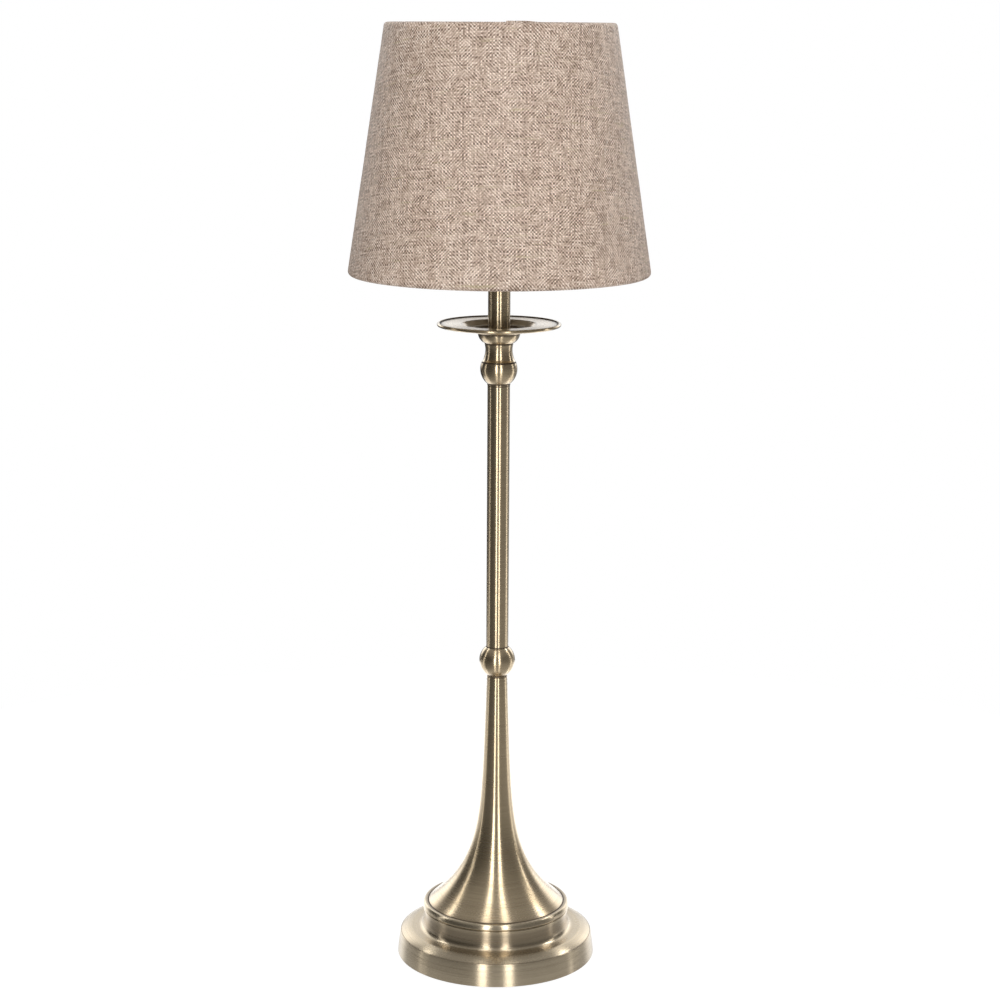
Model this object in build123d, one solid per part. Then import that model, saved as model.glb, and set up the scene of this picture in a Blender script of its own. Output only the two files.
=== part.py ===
"""A candlestick table lamp in antique brass with a tapered linen shade.

Millimetres, +Z up. The origin is the middle of the foot pad's underside. The front is -Y and the
cord inlet is at the back, +Y. Every outline is drawn as radius and height and turned about Z.
"""

import os
from math import cos, degrees, hypot, pi, sin, sqrt

from build123d import *

# Clearances and cuts
overrun = 1.0  # how far a cut runs past the face that it opens
rod_clearance = 0.15  # radial gap round the rod
bush_clearance = 0.05  # radial gap of a bush in its tube
spigot_clearance = 0.2  # radial gap of the trumpet's foot in the base ring
ring_clearance = 0.15  # radial gap of a shade ring on the sleeve
lift_clearance = 0.1  # gap under a face that lifts off
lamp_clearance = 0.3  # gap between the lamp's cap and the holder

# Foot pad
pad_thickness = 2.5
pad_proud = 1.0  # how far the rim stands off the table
pad_margin = 1.0  # radial gap inside the rim

# Base shell: wall, shoulder, cove and ring, from the rim up
shell_wall = 1.2
rim_radius = 69.0
wall_belly_radius = 68.2
wall_top_radius = 67.1
wall_height = 15.5
wall_edge = 0.5  # rounding between wall and shoulder
shoulder_radius = 59.0
shoulder_rise = 3.1
shoulder_crown = 0.35
cove_top_radius = 50.2
cove_height = 12.4
band_radius = 50.8
band_height = 1.3
groove_radius = 50.4
groove_height = 0.35
bead_radius = 51.4
ring_height = 6.4
ring_top_radius = 49.4
recess_depth = 1.5

# Base weight
weight_margin = 1.4  # radial gap inside the shell's wall
weight_height = 9.5
weight_hub_radius = 20.0
nut_pocket_radius = 15.0
nut_pocket_depth = 8.5
cord_slot_width = 10.0

# Rod and its fastenings
rod_radius = 5.0
rod_bore_radius = 3.5
rod_below_nut = 1.0
rod_in_holder = 11.0
nut_across_flats = 17.0
nut_height = 4.0
washer_radius = 12.0
washer_thickness = 1.5

# Cord inlet bush
inlet_height = 6.5  # above the rim
inlet_neck_radius = 4.2
inlet_bore_radius = 3.4
inlet_flange_radius = 5.6
inlet_flange_thickness = 1.6
inlet_neck_length = 1.4  # behind the shell's wall
inlet_fit = 0.05

# Trumpet stem
trumpet_height = 163.1  # above the ring
trumpet_wall = 1.2
trumpet_lip_radius = 7.1
trumpet_taper = 6.3
trumpet_flare = 34.0
flare_power = 5.9
trumpet_collar_length = 9.0
lip_edge = 0.35

# Lower ball
lower_ball_radius = 12.35
lower_ball_foot_radius = 6.3
lower_neck_radius = 6.9
lower_neck_height = 0.8

# Column
column_radius = 7.6
column_length = 182.4
column_wall = 1.0
column_bush_length = 12.0

# Upper ball
upper_ball_radius = 12.55
upper_collar_radius = 7.8
upper_collar_height = 1.15
upper_crown_radius = 11.6

# Vase neck
neck_height = 12.8
neck_groove_radius = 10.9
neck_groove_height = 0.4
neck_foot_radius = 11.4
neck_waist_radius = 9.15
neck_lip_radius = 9.6
neck_lip_height = 0.9

# Pan cup
cup_height = 7.4
cup_radius = 14.3
cup_foot_radius = 9.5

# Drip pan
pan_sheet = 0.9
pan_radius = 41.8  # to the outside of the rolled edge
pan_bead_radius = 1.15
pan_flange_radius = 26.0
pan_ring_outer_radius = 21.8
pan_ring_inner_radius = 18.9
pan_floor_radius = 17.0
pan_ring_rise = 1.3
pan_flange_rise = 4.7
pan_bead_drop = 0.4

# Candle tube
candle_radius = 7.5
candle_length = 30.0
candle_wall = 0.8
candle_bush_length = 6.0
top_washer_radius = 9.0
top_washer_thickness = 1.2

# Lampholder
cap_foot_radius = 9.5
cap_foot_height = 4.0
cap_radius = 21.5
cap_height = 19.0
cap_shoulder_height = 12.0
cap_wall = 1.4
cap_entry_length = 9.0  # threaded entry inside the cap
cap_overlap = 4.5  # how far the sleeve stands inside the cap
sleeve_radius = 20.0
sleeve_wall = 1.8
sleeve_length = 38.5
sleeve_mouth_radius = 15.4
sleeve_lip = 2.0
core_radius = 17.9
core_floor = 7.0
screw_shell_wall = 0.5
contact_width = 6.0
contact_length = 16.0
contact_sheet = 0.6
contact_rise = 2.6
terminal_radius = 2.0
terminal_height = 3.0
terminal_spacing = 18.0

# Shade rings
shade_ring_radius = 28.0
shade_ring_height = 6.0
shade_ring_wall = 1.6
shade_ring_flange = 2.6
ring_flute_count = 20
ring_flute_radius = 2.2
ring_flute_depth = 0.8
lower_ring_height = 9.0  # above the cap's edge

# Shade
shade_bottom_radius = 101.6
shade_top_radius = 76.25
shade_height = 165.4
shade_above_pan = 39.1  # shade's lower edge over the pan's seat
cloth = 0.7
lining = 0.5
hoop_wire_radius = 1.3
hem_length = 7.0
lap_width = 16.0
lap_rise = 0.8
lap_angle = 82.0  # from +X, so the lap is at the back
fitter_sheet = 1.2
fitter_ring_radius = 33.5
fitter_bore_gap = 1.0  # radial gap of the plate round the sleeve
fitter_wire_radius = 1.6
fitter_arm_count = 3
fitter_arm_angle = 90.0  # the first arm, from +X
fitter_arm_gap = 0.7  # from the rings' edge to the arm's end on the plate
fitter_arm_flat = 6.0  # level stretch outside the plate
fitter_bend_radius = 12.0
hem_notch_clearance = 0.4

# Lamp: a candle shape on a 27 mm screw cap
lamp_length = 98.0
lamp_cap_radius = 13.15
lamp_cap_height = 22.0
lamp_cap_wall = 0.5
lamp_tip_radius = 4.6
lamp_tip_height = 1.4
lamp_insulator_height = 3.4
lamp_thread_pitch = 3.63
lamp_thread_depth = 0.7
lamp_neck_radius = 12.4
lamp_glass_radius = 17.5
lamp_glass_wall = 0.8
stem_radius = 2.6
stem_rod_radius = 0.9
stem_height = 14.0
stem_foot_height = 3.0
filament_count = 4
filament_length = 30.0
filament_radius = 0.8
filament_ring_radius = 5.0
filament_top_radius = 3.4
filament_wire_radius = 0.35

# Where a curve passes between its two ends, as shares of its radius and height
wall_belly_share = 0.5
cove_pull_share = 0.95
bead_height_share = 0.35
trumpet_step_shares = (0, 0.2, 0.4, 0.55, 0.68, 0.78, 0.86, 0.93, 0.97, 1)
neck_shoulder_shares = (0.55, 0.19)
neck_waist_share = 0.63
cup_belly_shares = (0.63, 0.3)
glass_belly_share = 0.37
glass_shoulder_shares = (0.72, 0.7)
cap_dome_shares = (0.62, 0.38)
tip_shares = (0.6, 0.2)

# Heights from the table up, each from the piece below it
bore_radius = rod_radius + rod_clearance
base_z = pad_proud
ring_top_z = base_z + wall_height + shoulder_rise + cove_height + ring_height
trumpet_foot_z = ring_top_z - recess_depth
shell_ceiling_z = trumpet_foot_z - shell_wall
nut_seat_z = pad_thickness + nut_pocket_depth
rod_bottom_z = nut_seat_z - washer_thickness - nut_height - rod_below_nut
trumpet_top_z = ring_top_z + trumpet_height
lower_ball_z = (
    trumpet_top_z + lower_neck_height + sqrt(lower_ball_radius**2 - lower_ball_foot_radius**2)
)
column_z = lower_ball_z + sqrt(lower_ball_radius**2 - column_radius**2)
column_top_z = column_z + column_length
upper_ball_z = (
    column_top_z + upper_collar_height + sqrt(upper_ball_radius**2 - upper_collar_radius**2)
)
neck_z = upper_ball_z + sqrt(upper_ball_radius**2 - upper_crown_radius**2)
cup_z = neck_z + neck_height
pan_z = cup_z + cup_height
candle_z = pan_z + pan_sheet
candle_top_z = candle_z + candle_length
cap_z = candle_top_z + top_washer_thickness
rod_top_z = cap_z + rod_in_holder
cap_top_z = cap_z + cap_height
sleeve_z = cap_top_z - cap_overlap
sleeve_top_z = sleeve_z + sleeve_length
core_z = sleeve_z
core_top_z = sleeve_top_z - sleeve_lip
contact_z = core_z + core_floor
lamp_z = contact_z + contact_sheet + contact_rise + lift_clearance
lower_ring_z = cap_top_z + lower_ring_height
fitter_z = lower_ring_z + shade_ring_height + lift_clearance
upper_ring_z = fitter_z + fitter_sheet + lift_clearance
shade_z = pan_z + shade_above_pan
glass_z = lamp_z + lamp_tip_height + lamp_insulator_height + lamp_cap_height

# The shade's slanted wall
slant_length = hypot(shade_bottom_radius - shade_top_radius, shade_height)
slant_radial = (shade_top_radius - shade_bottom_radius) / slant_length
slant_rise = shade_height / slant_length
hoop_depth = cloth + lining + hoop_wire_radius  # of a hoop's centre, from the cloth's face


def turned(edges, angle=360):
    """The solid that a closed outline of edges makes, turned about the lamp's axis."""
    return revolve(Plane.XZ * make_face(edges), Axis.Z, revolution_arc=angle)


def chain(*points):
    """Straight edges through the points."""
    return list(Polyline(*points).edges())


def closed(*points):
    """Straight edges through the points and back to the first."""
    return list(Polyline(*points, close=True).edges())


def bored(outer, bore, height):
    """A ring or tube standing on z = 0."""
    return extrude(Circle(outer) - Circle(bore), height)


def lifted(shape, height):
    """The shape moved up."""
    return Pos(0, 0, height) * shape


def share_point(start, end, shares):
    """The point at these shares of the way from start to end, in radius and height."""
    return (
        start[0] + (end[0] - start[0]) * shares[0],
        start[1] + (end[1] - start[1]) * shares[1],
    )


def s_rise(start, end):
    """A curve that leaves and arrives level."""
    return Spline(start, end, tangents=[(1, 0), (1, 0)])


def skirt(inset):
    """The base's outside from the rim to the ring's lower edge, drawn inset by a wall."""
    rim = (rim_radius - inset, 0)
    wall_end = (wall_top_radius - inset, wall_height - wall_edge - inset)
    belly = (wall_belly_radius - inset, wall_end[1] * wall_belly_share)
    shoulder_start = (wall_end[0] - wall_edge, wall_end[1] + wall_edge)
    edge_middle = (
        wall_end[0] - wall_edge * (1 - cos(pi / 4)),
        wall_end[1] + wall_edge * sin(pi / 4),
    )
    shoulder_end = (shoulder_radius - inset, wall_height + shoulder_rise - inset)
    shoulder_middle = (
        (shoulder_start[0] + shoulder_end[0]) / 2,
        (shoulder_start[1] + shoulder_end[1]) / 2 + shoulder_crown,
    )
    cove_end = (cove_top_radius - inset, shoulder_end[1] + cove_height)
    corner = (cove_end[0], shoulder_end[1])
    pull = cove_pull_share
    cove = Bezier(
        shoulder_end,
        (
            shoulder_end[0] + (corner[0] - shoulder_end[0]) * pull,
            shoulder_end[1],
        ),
        (cove_end[0], cove_end[1] + (corner[1] - cove_end[1]) * pull),
        cove_end,
    )
    return [
        ThreePointArc(rim, belly, wall_end),
        ThreePointArc(wall_end, edge_middle, shoulder_start),
        ThreePointArc(shoulder_start, shoulder_middle, shoulder_end),
        cove,
    ]


def base_ring():
    """The ring round the trumpet's foot, from the cove's top to the rod's hole."""
    low = wall_height + shoulder_rise + cove_height
    band_top = low + band_height
    bead_low = band_top + groove_height
    top = low + ring_height
    bead = (bead_radius, bead_low + (top - bead_low) * bead_height_share)
    recess_radius = trumpet_foot_radius() + spigot_clearance
    return [
        *chain(
            (cove_top_radius, low),
            (band_radius, low),
            (band_radius, band_top),
            (groove_radius, band_top),
            (groove_radius, bead_low),
        ),
        Spline((groove_radius, bead_low), bead, (ring_top_radius, top), tangents=[(1, 1), (-1, 0)]),
        *chain(
            (ring_top_radius, top),
            (recess_radius, top),
            (recess_radius, top - recess_depth),
            (bore_radius, top - recess_depth),
        ),
    ]


def inlet_axis():
    """The cord inlet's axis, from the lamp's axis out to the back."""
    return Plane((0, 0, base_z + inlet_height), x_dir=(1, 0, 0), z_dir=(0, 1, 0))


def base_body():
    """The space inside the base's outside face, up to the ring."""
    top = wall_height + shoulder_rise + cove_height
    outside = skirt(0) + chain((cove_top_radius, top), (0, top), (0, 0), (rim_radius, 0))
    return lifted(turned(outside), base_z)


def base_shell():
    """The spun base: a hollow skirt with its ring, holed for the rod and the cord."""
    ceiling = shell_ceiling_z - base_z
    inside_top = wall_height + shoulder_rise + cove_height - shell_wall
    inner = cove_top_radius - shell_wall
    outline = skirt(0) + base_ring() + skirt(shell_wall)
    outline += chain((bore_radius, ceiling + shell_wall), (bore_radius, ceiling), (inner, ceiling))
    outline += chain((inner, ceiling), (inner, inside_top))
    outline += chain((rim_radius - shell_wall, 0), (rim_radius, 0))
    hole = inlet_axis() * Cylinder(
        inlet_neck_radius + inlet_fit, rim_radius + overrun, align=(Align.CENTER, Align.CENTER, Align.MIN)
    )
    return lifted(turned(outline), base_z) - hole


def cord_inlet_bush():
    """The bush at the back: a neck through the wall and a flange that follows the wall's face."""
    inside = wall_top_radius - shell_wall - inlet_neck_length
    outside = rim_radius + inlet_flange_thickness
    plane = inlet_axis()
    flange = extrude(plane.offset(inside) * Circle(inlet_flange_radius), outside - inside)
    neck = extrude(plane.offset(inside) * Circle(inlet_neck_radius), outside - inside)
    bore = extrude(plane.offset(inside - overrun) * Circle(inlet_bore_radius), outside)
    return flange - base_body() + neck - bore


def base_pad():
    """The foam disc under the base."""
    return Cylinder(
        rim_radius - shell_wall - pad_margin,
        pad_thickness,
        align=(Align.CENTER, Align.CENTER, Align.MIN),
    )


def base_weight():
    """The cast weight: a disc with a hub up to the shell, a pocket for the nut and a cord slot."""
    radius = wall_top_radius - shell_wall - weight_margin
    slot_depth = nut_pocket_depth
    hub_top = shell_ceiling_z - pad_thickness
    body = bored(radius, bore_radius, weight_height) + bored(weight_hub_radius, bore_radius, hub_top)
    pocket = Cylinder(
        nut_pocket_radius, nut_pocket_depth, align=(Align.CENTER, Align.CENTER, Align.MIN)
    )
    slot = Box(
        cord_slot_width, radius + overrun, slot_depth, align=(Align.CENTER, Align.MIN, Align.MIN)
    )
    return lifted(body - pocket - slot, pad_thickness)


def bottom_washer():
    """The washer in the weight's pocket."""
    ring = bored(washer_radius, bore_radius, washer_thickness)
    return lifted(ring, nut_seat_z - washer_thickness)


def bottom_nut():
    """The hexagon nut that pulls the whole stem together."""
    profile = RegularPolygon(nut_across_flats / 2, 6, major_radius=False) - Circle(bore_radius)
    return lifted(extrude(profile, nut_height), nut_seat_z - washer_thickness - nut_height)


def threaded_rod():
    """The hollow rod that runs from the nut up into the holder."""
    return lifted(bored(rod_radius, rod_bore_radius, rod_top_z - rod_bottom_z), rod_bottom_z)


def trumpet_foot_radius():
    """The trumpet's radius where it meets the ring."""
    return trumpet_lip_radius + trumpet_taper + trumpet_flare


def trumpet_curve(inset):
    """The trumpet's flare from its lip down to the ring, drawn inset by the wall."""
    points = [
        (
            trumpet_lip_radius + trumpet_taper * step + trumpet_flare * step**flare_power - inset,
            recess_depth + trumpet_height * (1 - step),
        )
        for step in trumpet_step_shares
    ]
    return Spline(*points)


def trumpet_stem():
    """The spun trumpet, open below, with its foot standing in the ring."""
    foot = trumpet_foot_radius()
    lip = trumpet_lip_radius
    top = recess_depth + trumpet_height
    outline = [trumpet_curve(0), trumpet_curve(trumpet_wall)]
    outline += chain((foot, recess_depth), (foot, 0), (foot - trumpet_wall, 0))
    outline += chain((foot - trumpet_wall, 0), (foot - trumpet_wall, recess_depth))
    outline += chain((lip, top), (lip - trumpet_wall, top))
    shell = lifted(turned(outline), trumpet_foot_z)
    return fillet(shell.edges().group_by(Axis.Z)[-1].sort_by(SortBy.LENGTH)[-1], lip_edge)


def trumpet_collar():
    """The plug that closes the trumpet's neck round the rod."""
    ring = bored(trumpet_lip_radius - trumpet_wall, bore_radius, trumpet_collar_length)
    return lifted(ring, trumpet_top_z - trumpet_collar_length)


def lower_ball():
    """The ball between trumpet and column, on a short sunk neck."""
    low = -sqrt(lower_ball_radius**2 - lower_ball_foot_radius**2)
    high = sqrt(lower_ball_radius**2 - column_radius**2)
    bottom = low - lower_neck_height
    neck_top = -sqrt(lower_ball_radius**2 - lower_neck_radius**2)
    outline = [
        ThreePointArc((lower_neck_radius, neck_top), (lower_ball_radius, 0), (column_radius, high))
    ]
    outline += chain((column_radius, high), (bore_radius, high), (bore_radius, bottom))
    outline += chain((bore_radius, bottom), (lower_neck_radius, bottom), (lower_neck_radius, neck_top))
    return lifted(turned(outline), lower_ball_z)


def column_tube():
    """The plain column between the two balls."""
    return lifted(bored(column_radius, column_radius - column_wall, column_length), column_z)


def column_bush(z):
    """A ring that centres the column's end on the rod."""
    ring = bored(column_radius - column_wall - bush_clearance, bore_radius, column_bush_length)
    return lifted(ring, z)


def upper_ball():
    """The ball over the column, cut level under the neck."""
    low = -sqrt(upper_ball_radius**2 - upper_collar_radius**2)
    high = sqrt(upper_ball_radius**2 - upper_crown_radius**2)
    bottom = low - upper_collar_height
    outline = [
        ThreePointArc((upper_collar_radius, low), (upper_ball_radius, 0), (upper_crown_radius, high))
    ]
    outline += chain((upper_crown_radius, high), (bore_radius, high), (bore_radius, bottom))
    outline += chain((bore_radius, bottom), (upper_collar_radius, bottom), (upper_collar_radius, low))
    return lifted(turned(outline), upper_ball_z)


def vase_neck():
    """The waisted neck over the upper ball."""
    foot = (neck_foot_radius, neck_groove_height)
    lip = (neck_lip_radius, neck_height - neck_lip_height)
    waist = (neck_waist_radius, foot[1] + (lip[1] - foot[1]) * neck_waist_share)
    shoulder = share_point(foot, (neck_waist_radius, lip[1]), neck_shoulder_shares)
    outline = [Spline(foot, shoulder, waist, lip)]
    outline += chain(lip, (neck_lip_radius, neck_height), (bore_radius, neck_height))
    outline += chain((bore_radius, neck_height), (bore_radius, 0), (neck_groove_radius, 0))
    outline += chain((neck_groove_radius, 0), (neck_groove_radius, neck_groove_height), foot)
    return lifted(turned(outline), neck_z)


def pan_cup():
    """The rounded cup that carries the drip pan."""
    foot = (cup_foot_radius, 0)
    edge = (cup_radius, cup_height)
    outline = [ThreePointArc(foot, share_point(foot, edge, cup_belly_shares), edge)]
    outline += chain(edge, (bore_radius, cup_height), (bore_radius, 0), foot)
    return lifted(turned(outline), cup_z)


def pan_path(height):
    """The pan's floor, ring, wall and flange, at a height over its seat."""
    ring_z = height + pan_ring_rise
    flange_z = height + pan_flange_rise
    edge = pan_radius - pan_bead_radius
    return [
        Line((bore_radius, height), (pan_floor_radius, height)),
        s_rise((pan_floor_radius, height), (pan_ring_inner_radius, ring_z)),
        Line((pan_ring_inner_radius, ring_z), (pan_ring_outer_radius, ring_z)),
        s_rise((pan_ring_outer_radius, ring_z), (pan_flange_radius, flange_z)),
        Line((pan_flange_radius, flange_z), (edge, flange_z)),
    ]


def drip_pan():
    """The pressed pan with its rolled edge."""
    edge = pan_radius - pan_bead_radius
    flange_z = pan_flange_rise
    outline = pan_path(0) + pan_path(pan_sheet)
    outline += chain((bore_radius, 0), (bore_radius, pan_sheet))
    outline += chain((edge, flange_z), (edge, flange_z + pan_sheet))
    bead = Pos(edge, flange_z + pan_sheet - pan_bead_drop) * Circle(pan_bead_radius)
    return lifted(turned(outline) + revolve(Plane.XZ * bead, Axis.Z), pan_z)


def candle_tube():
    """The plain tube over the pan, under the holder."""
    return lifted(bored(candle_radius, candle_radius - candle_wall, candle_length), candle_z)


def candle_bush(z):
    """A ring that centres the candle tube's end on the rod."""
    ring = bored(candle_radius - candle_wall - bush_clearance, bore_radius, candle_bush_length)
    return lifted(ring, z)


def top_washer():
    """The washer between the candle tube and the holder."""
    return lifted(bored(top_washer_radius, bore_radius, top_washer_thickness), candle_top_z)


def dome(inset):
    """The holder cap's side from its foot to its edge, drawn inset by the wall."""
    foot = (cap_foot_radius - inset, cap_foot_height)
    shoulder = (cap_radius - inset, cap_shoulder_height)
    middle = share_point(foot, shoulder, cap_dome_shares)
    return [ThreePointArc(foot, middle, shoulder), Line(shoulder, (cap_radius - inset, cap_height))]


def holder_cap():
    """The holder's domed cap, screwed to the rod by its entry."""
    inner_foot = cap_foot_radius - cap_wall
    outline = dome(0) + dome(cap_wall)
    outline += chain((cap_radius, cap_height), (cap_radius - cap_wall, cap_height))
    outline += chain((cap_foot_radius, cap_foot_height), (cap_foot_radius, 0), (bore_radius, 0))
    outline += chain((bore_radius, 0), (bore_radius, cap_entry_length), (inner_foot, cap_entry_length))
    outline += chain((inner_foot, cap_entry_length), (inner_foot, cap_foot_height))
    return lifted(turned(outline), cap_z)


def holder_sleeve():
    """The holder's sleeve, which carries the shade rings, with its lip turned in at the mouth."""
    tube = bored(sleeve_radius, sleeve_radius - sleeve_wall, sleeve_length)
    lip = lifted(bored(sleeve_radius, sleeve_mouth_radius, sleeve_lip), sleeve_length - sleeve_lip)
    return lifted(tube + lip, sleeve_z)


def holder_core():
    """The insulating cup inside the sleeve, with a floor for the contacts."""
    bore = lamp_cap_radius + lamp_clearance + screw_shell_wall
    height = core_top_z - core_z
    outline = closed(
        (0, 0),
        (core_radius, 0),
        (core_radius, height),
        (bore, height),
        (bore, core_floor),
        (0, core_floor),
    )
    return lifted(turned(outline), core_z)


def holder_screw_shell():
    """The metal sleeve that takes the lamp's cap."""
    bore = lamp_cap_radius + lamp_clearance
    tube = bored(bore + screw_shell_wall, bore, core_top_z - contact_z)
    return lifted(tube, contact_z)


def holder_contact():
    """The sprung strip under the lamp's tip, raised in the middle."""
    flat = contact_length / 2
    rise_end = lamp_tip_radius
    top = contact_sheet + contact_rise
    low = closed(
        (-flat, 0),
        (-flat, contact_sheet),
        (-flat / 2, contact_sheet),
        (-rise_end / 2, top),
        (rise_end / 2, top),
        (flat / 2, contact_sheet),
        (flat, contact_sheet),
        (flat, 0),
        (flat / 2, 0),
        (rise_end / 2, contact_rise),
        (-rise_end / 2, contact_rise),
        (-flat / 2, 0),
    )
    strip = extrude(Plane.XZ * make_face(low), contact_width / 2, both=True)
    return lifted(strip, contact_z)


def terminal_screws():
    """The two terminal screws under the core."""
    screw = Cylinder(
        terminal_radius, terminal_height, align=(Align.CENTER, Align.CENTER, Align.MAX)
    )
    return [Pos(side * terminal_spacing / 2, 0, core_z) * screw for side in (-1, 1)]


def shade_ring(flange_height):
    """A threaded ring with a fluted flange, which clamps the shade's fitter."""
    bore = sleeve_radius + ring_clearance
    reach = shade_ring_radius + ring_flute_radius - ring_flute_depth
    flutes = PolarLocations(reach, ring_flute_count) * Circle(ring_flute_radius)
    flange = extrude(Circle(shade_ring_radius) - flutes - Circle(bore), shade_ring_flange)
    collar = bored(bore + shade_ring_wall, bore, shade_ring_height)
    return collar + lifted(flange, flange_height)


def lower_shade_ring():
    """The ring under the fitter, its flange up."""
    return lifted(shade_ring(shade_ring_height - shade_ring_flange), lower_ring_z)


def upper_shade_ring():
    """The ring over the fitter, its flange down."""
    return lifted(shade_ring(0), upper_ring_z)


def wall_point(along, inward):
    """The point at a distance up the shade's slant and a depth inside the cloth's face."""
    radius = shade_bottom_radius + along * slant_radial - inward * slant_rise
    height = along * slant_rise + inward * slant_radial
    return (radius, height)


def cloth_outline(proud):
    """The cloth's section, turned in over both hoops, with its face standing proud."""
    turn = hoop_depth
    inner_turn = turn - cloth
    low = turn
    high = slant_length - turn
    back = turn + inner_turn
    hem_face = turn + turn
    faces = [
        ThreePointArc(
            wall_point(high, -proud),
            wall_point(high + turn + proud, turn),
            wall_point(high, hem_face + proud),
        ),
        ThreePointArc(
            wall_point(high, back),
            wall_point(high + inner_turn, turn),
            wall_point(high, cloth),
        ),
        ThreePointArc(
            wall_point(low, cloth),
            wall_point(low - inner_turn, turn),
            wall_point(low, back),
        ),
        ThreePointArc(
            wall_point(low, hem_face + proud),
            wall_point(low - turn - proud, turn),
            wall_point(low, -proud),
        ),
    ]
    faces += chain(wall_point(low, -proud), wall_point(high, -proud))
    faces += chain(wall_point(high, cloth), wall_point(low, cloth))
    faces += chain(
        wall_point(high, hem_face + proud),
        wall_point(slant_length - hem_length, hem_face + proud),
        wall_point(slant_length - hem_length, back),
        wall_point(high, back),
    )
    faces += chain(
        wall_point(low, back),
        wall_point(hem_length, back),
        wall_point(hem_length, hem_face + proud),
        wall_point(low, hem_face + proud),
    )
    return faces


def shade_fabric():
    """The linen cone with its rolled edges, its lapped seam and a notch for each fitter arm."""
    cone = turned(cloth_outline(0))
    middle_radius = (shade_bottom_radius + shade_top_radius) / 2
    angle = degrees(lap_width / middle_radius)
    lap = Rot(0, 0, lap_angle - angle / 2) * turned(cloth_outline(lap_rise), angle)
    cloth_cone = lifted(cone + lap, shade_z)
    for arm in fitter_arms(fitter_wire_radius + hem_notch_clearance):
        cloth_cone -= arm
    return cloth_cone


def shade_lining():
    """The stiff lining behind the linen, from hoop to hoop."""
    low = hoop_depth
    high = slant_length - hoop_depth
    outline = closed(
        wall_point(low, cloth),
        wall_point(high, cloth),
        wall_point(high, cloth + lining),
        wall_point(low, cloth + lining),
    )
    return lifted(turned(outline), shade_z)


def hoop(along):
    """A wire hoop inside the shade's rolled edge."""
    radius, height = wall_point(along, hoop_depth)
    return lifted(Torus(radius, hoop_wire_radius), shade_z + height)


def arm_route():
    """One fitter arm's line, from the plate's edge out and down to the bottom hoop."""
    hoop_radius, hoop_height = wall_point(hoop_depth, hoop_depth)
    level = fitter_z + fitter_sheet / 2
    return FilletPolyline(
        (shade_ring_radius + fitter_arm_gap, 0, level),
        (fitter_ring_radius + fitter_arm_flat, 0, level),
        (hoop_radius, 0, shade_z + hoop_height),
        radius=fitter_bend_radius,
    )


def fitter_arms(wire_radius):
    """The fitter's arms as solid wires of this radius."""
    route = arm_route()
    section = Plane(route @ 0, z_dir=route % 0) * Circle(wire_radius)
    arm = sweep(section, path=route)
    step = 360 / fitter_arm_count
    return [Rot(0, 0, fitter_arm_angle + step * index) * arm for index in range(fitter_arm_count)]


def shade_fitter():
    """The plate that the rings clamp, with its arms welded to the bottom hoop."""
    plate = bored(fitter_ring_radius, sleeve_radius + fitter_bore_gap, fitter_sheet)
    fitter = lifted(plate, fitter_z)
    for arm in fitter_arms(fitter_wire_radius):
        fitter += arm
    return fitter - hoop(hoop_depth)


def lamp_contact():
    """The lamp's tip contact, slightly rounded below."""
    edge = (lamp_tip_radius, lamp_tip_height / 2)
    outline = [ThreePointArc((0, 0), share_point((0, 0), edge, tip_shares), edge)]
    outline += chain(edge, (lamp_tip_radius, lamp_tip_height), (0, lamp_tip_height), (0, 0))
    return lifted(turned(outline), lamp_z)


def lamp_insulator():
    """The glass bead between the tip and the screw cap."""
    top = lamp_cap_radius - lamp_thread_depth
    outline = closed((0, 0), (lamp_tip_radius, 0), (top, lamp_insulator_height), (0, lamp_insulator_height))
    return lifted(turned(outline), lamp_z + lamp_tip_height)


def lamp_cap():
    """The screw cap as a round-waved sleeve, with one wave for each turn of its thread."""
    root = lamp_cap_radius - lamp_thread_depth
    turns = int((lamp_cap_height - lamp_thread_pitch / 2) / lamp_thread_pitch)
    outline = []
    for index in range(turns):
        low = index * lamp_thread_pitch
        outline.append(
            Spline(
                (root, low),
                (lamp_cap_radius, low + lamp_thread_pitch / 2),
                (root, low + lamp_thread_pitch),
                tangents=[(0, 1), (0, 1)],
            )
        )
    top = turns * lamp_thread_pitch
    inner = root - lamp_cap_wall
    outline += chain((root, top), (root, lamp_cap_height), (inner, lamp_cap_height), (inner, 0), (root, 0))
    return lifted(turned(outline), lamp_z + lamp_tip_height + lamp_insulator_height)


def glass_curve(inset):
    """The candle shape from its neck to its point, drawn inset by the glass."""
    height = lamp_length - lamp_tip_height - lamp_insulator_height - lamp_cap_height
    belly = (lamp_glass_radius - inset, height * glass_belly_share)
    shoulder = (
        (lamp_glass_radius - inset) * glass_shoulder_shares[0],
        height * glass_shoulder_shares[1],
    )
    return Spline(
        (lamp_neck_radius - inset, 0),
        belly,
        shoulder,
        (0, height - inset),
        tangents=[(0, 1), (-1, 0)],
    )


def lamp_glass():
    """The lamp's clear envelope."""
    height = lamp_length - lamp_tip_height - lamp_insulator_height - lamp_cap_height
    outline = [glass_curve(0), glass_curve(lamp_glass_wall)]
    outline += chain((lamp_neck_radius, 0), (lamp_neck_radius - lamp_glass_wall, 0))
    outline += chain((0, height), (0, height - lamp_glass_wall))
    return lifted(turned(outline), glass_z)


def lamp_stem():
    """The glass mount inside the lamp: a flared foot, a stem and a thin rod."""
    rod_top = stem_height + filament_length + filament_radius
    foot = lamp_neck_radius - lamp_glass_wall
    outline = closed(
        (0, 0),
        (foot, 0),
        (stem_radius, stem_foot_height),
        (stem_radius, stem_height),
        (stem_rod_radius, stem_height + stem_radius),
        (stem_rod_radius, rod_top),
        (0, rod_top),
    )
    return lifted(turned(outline), glass_z)


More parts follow.
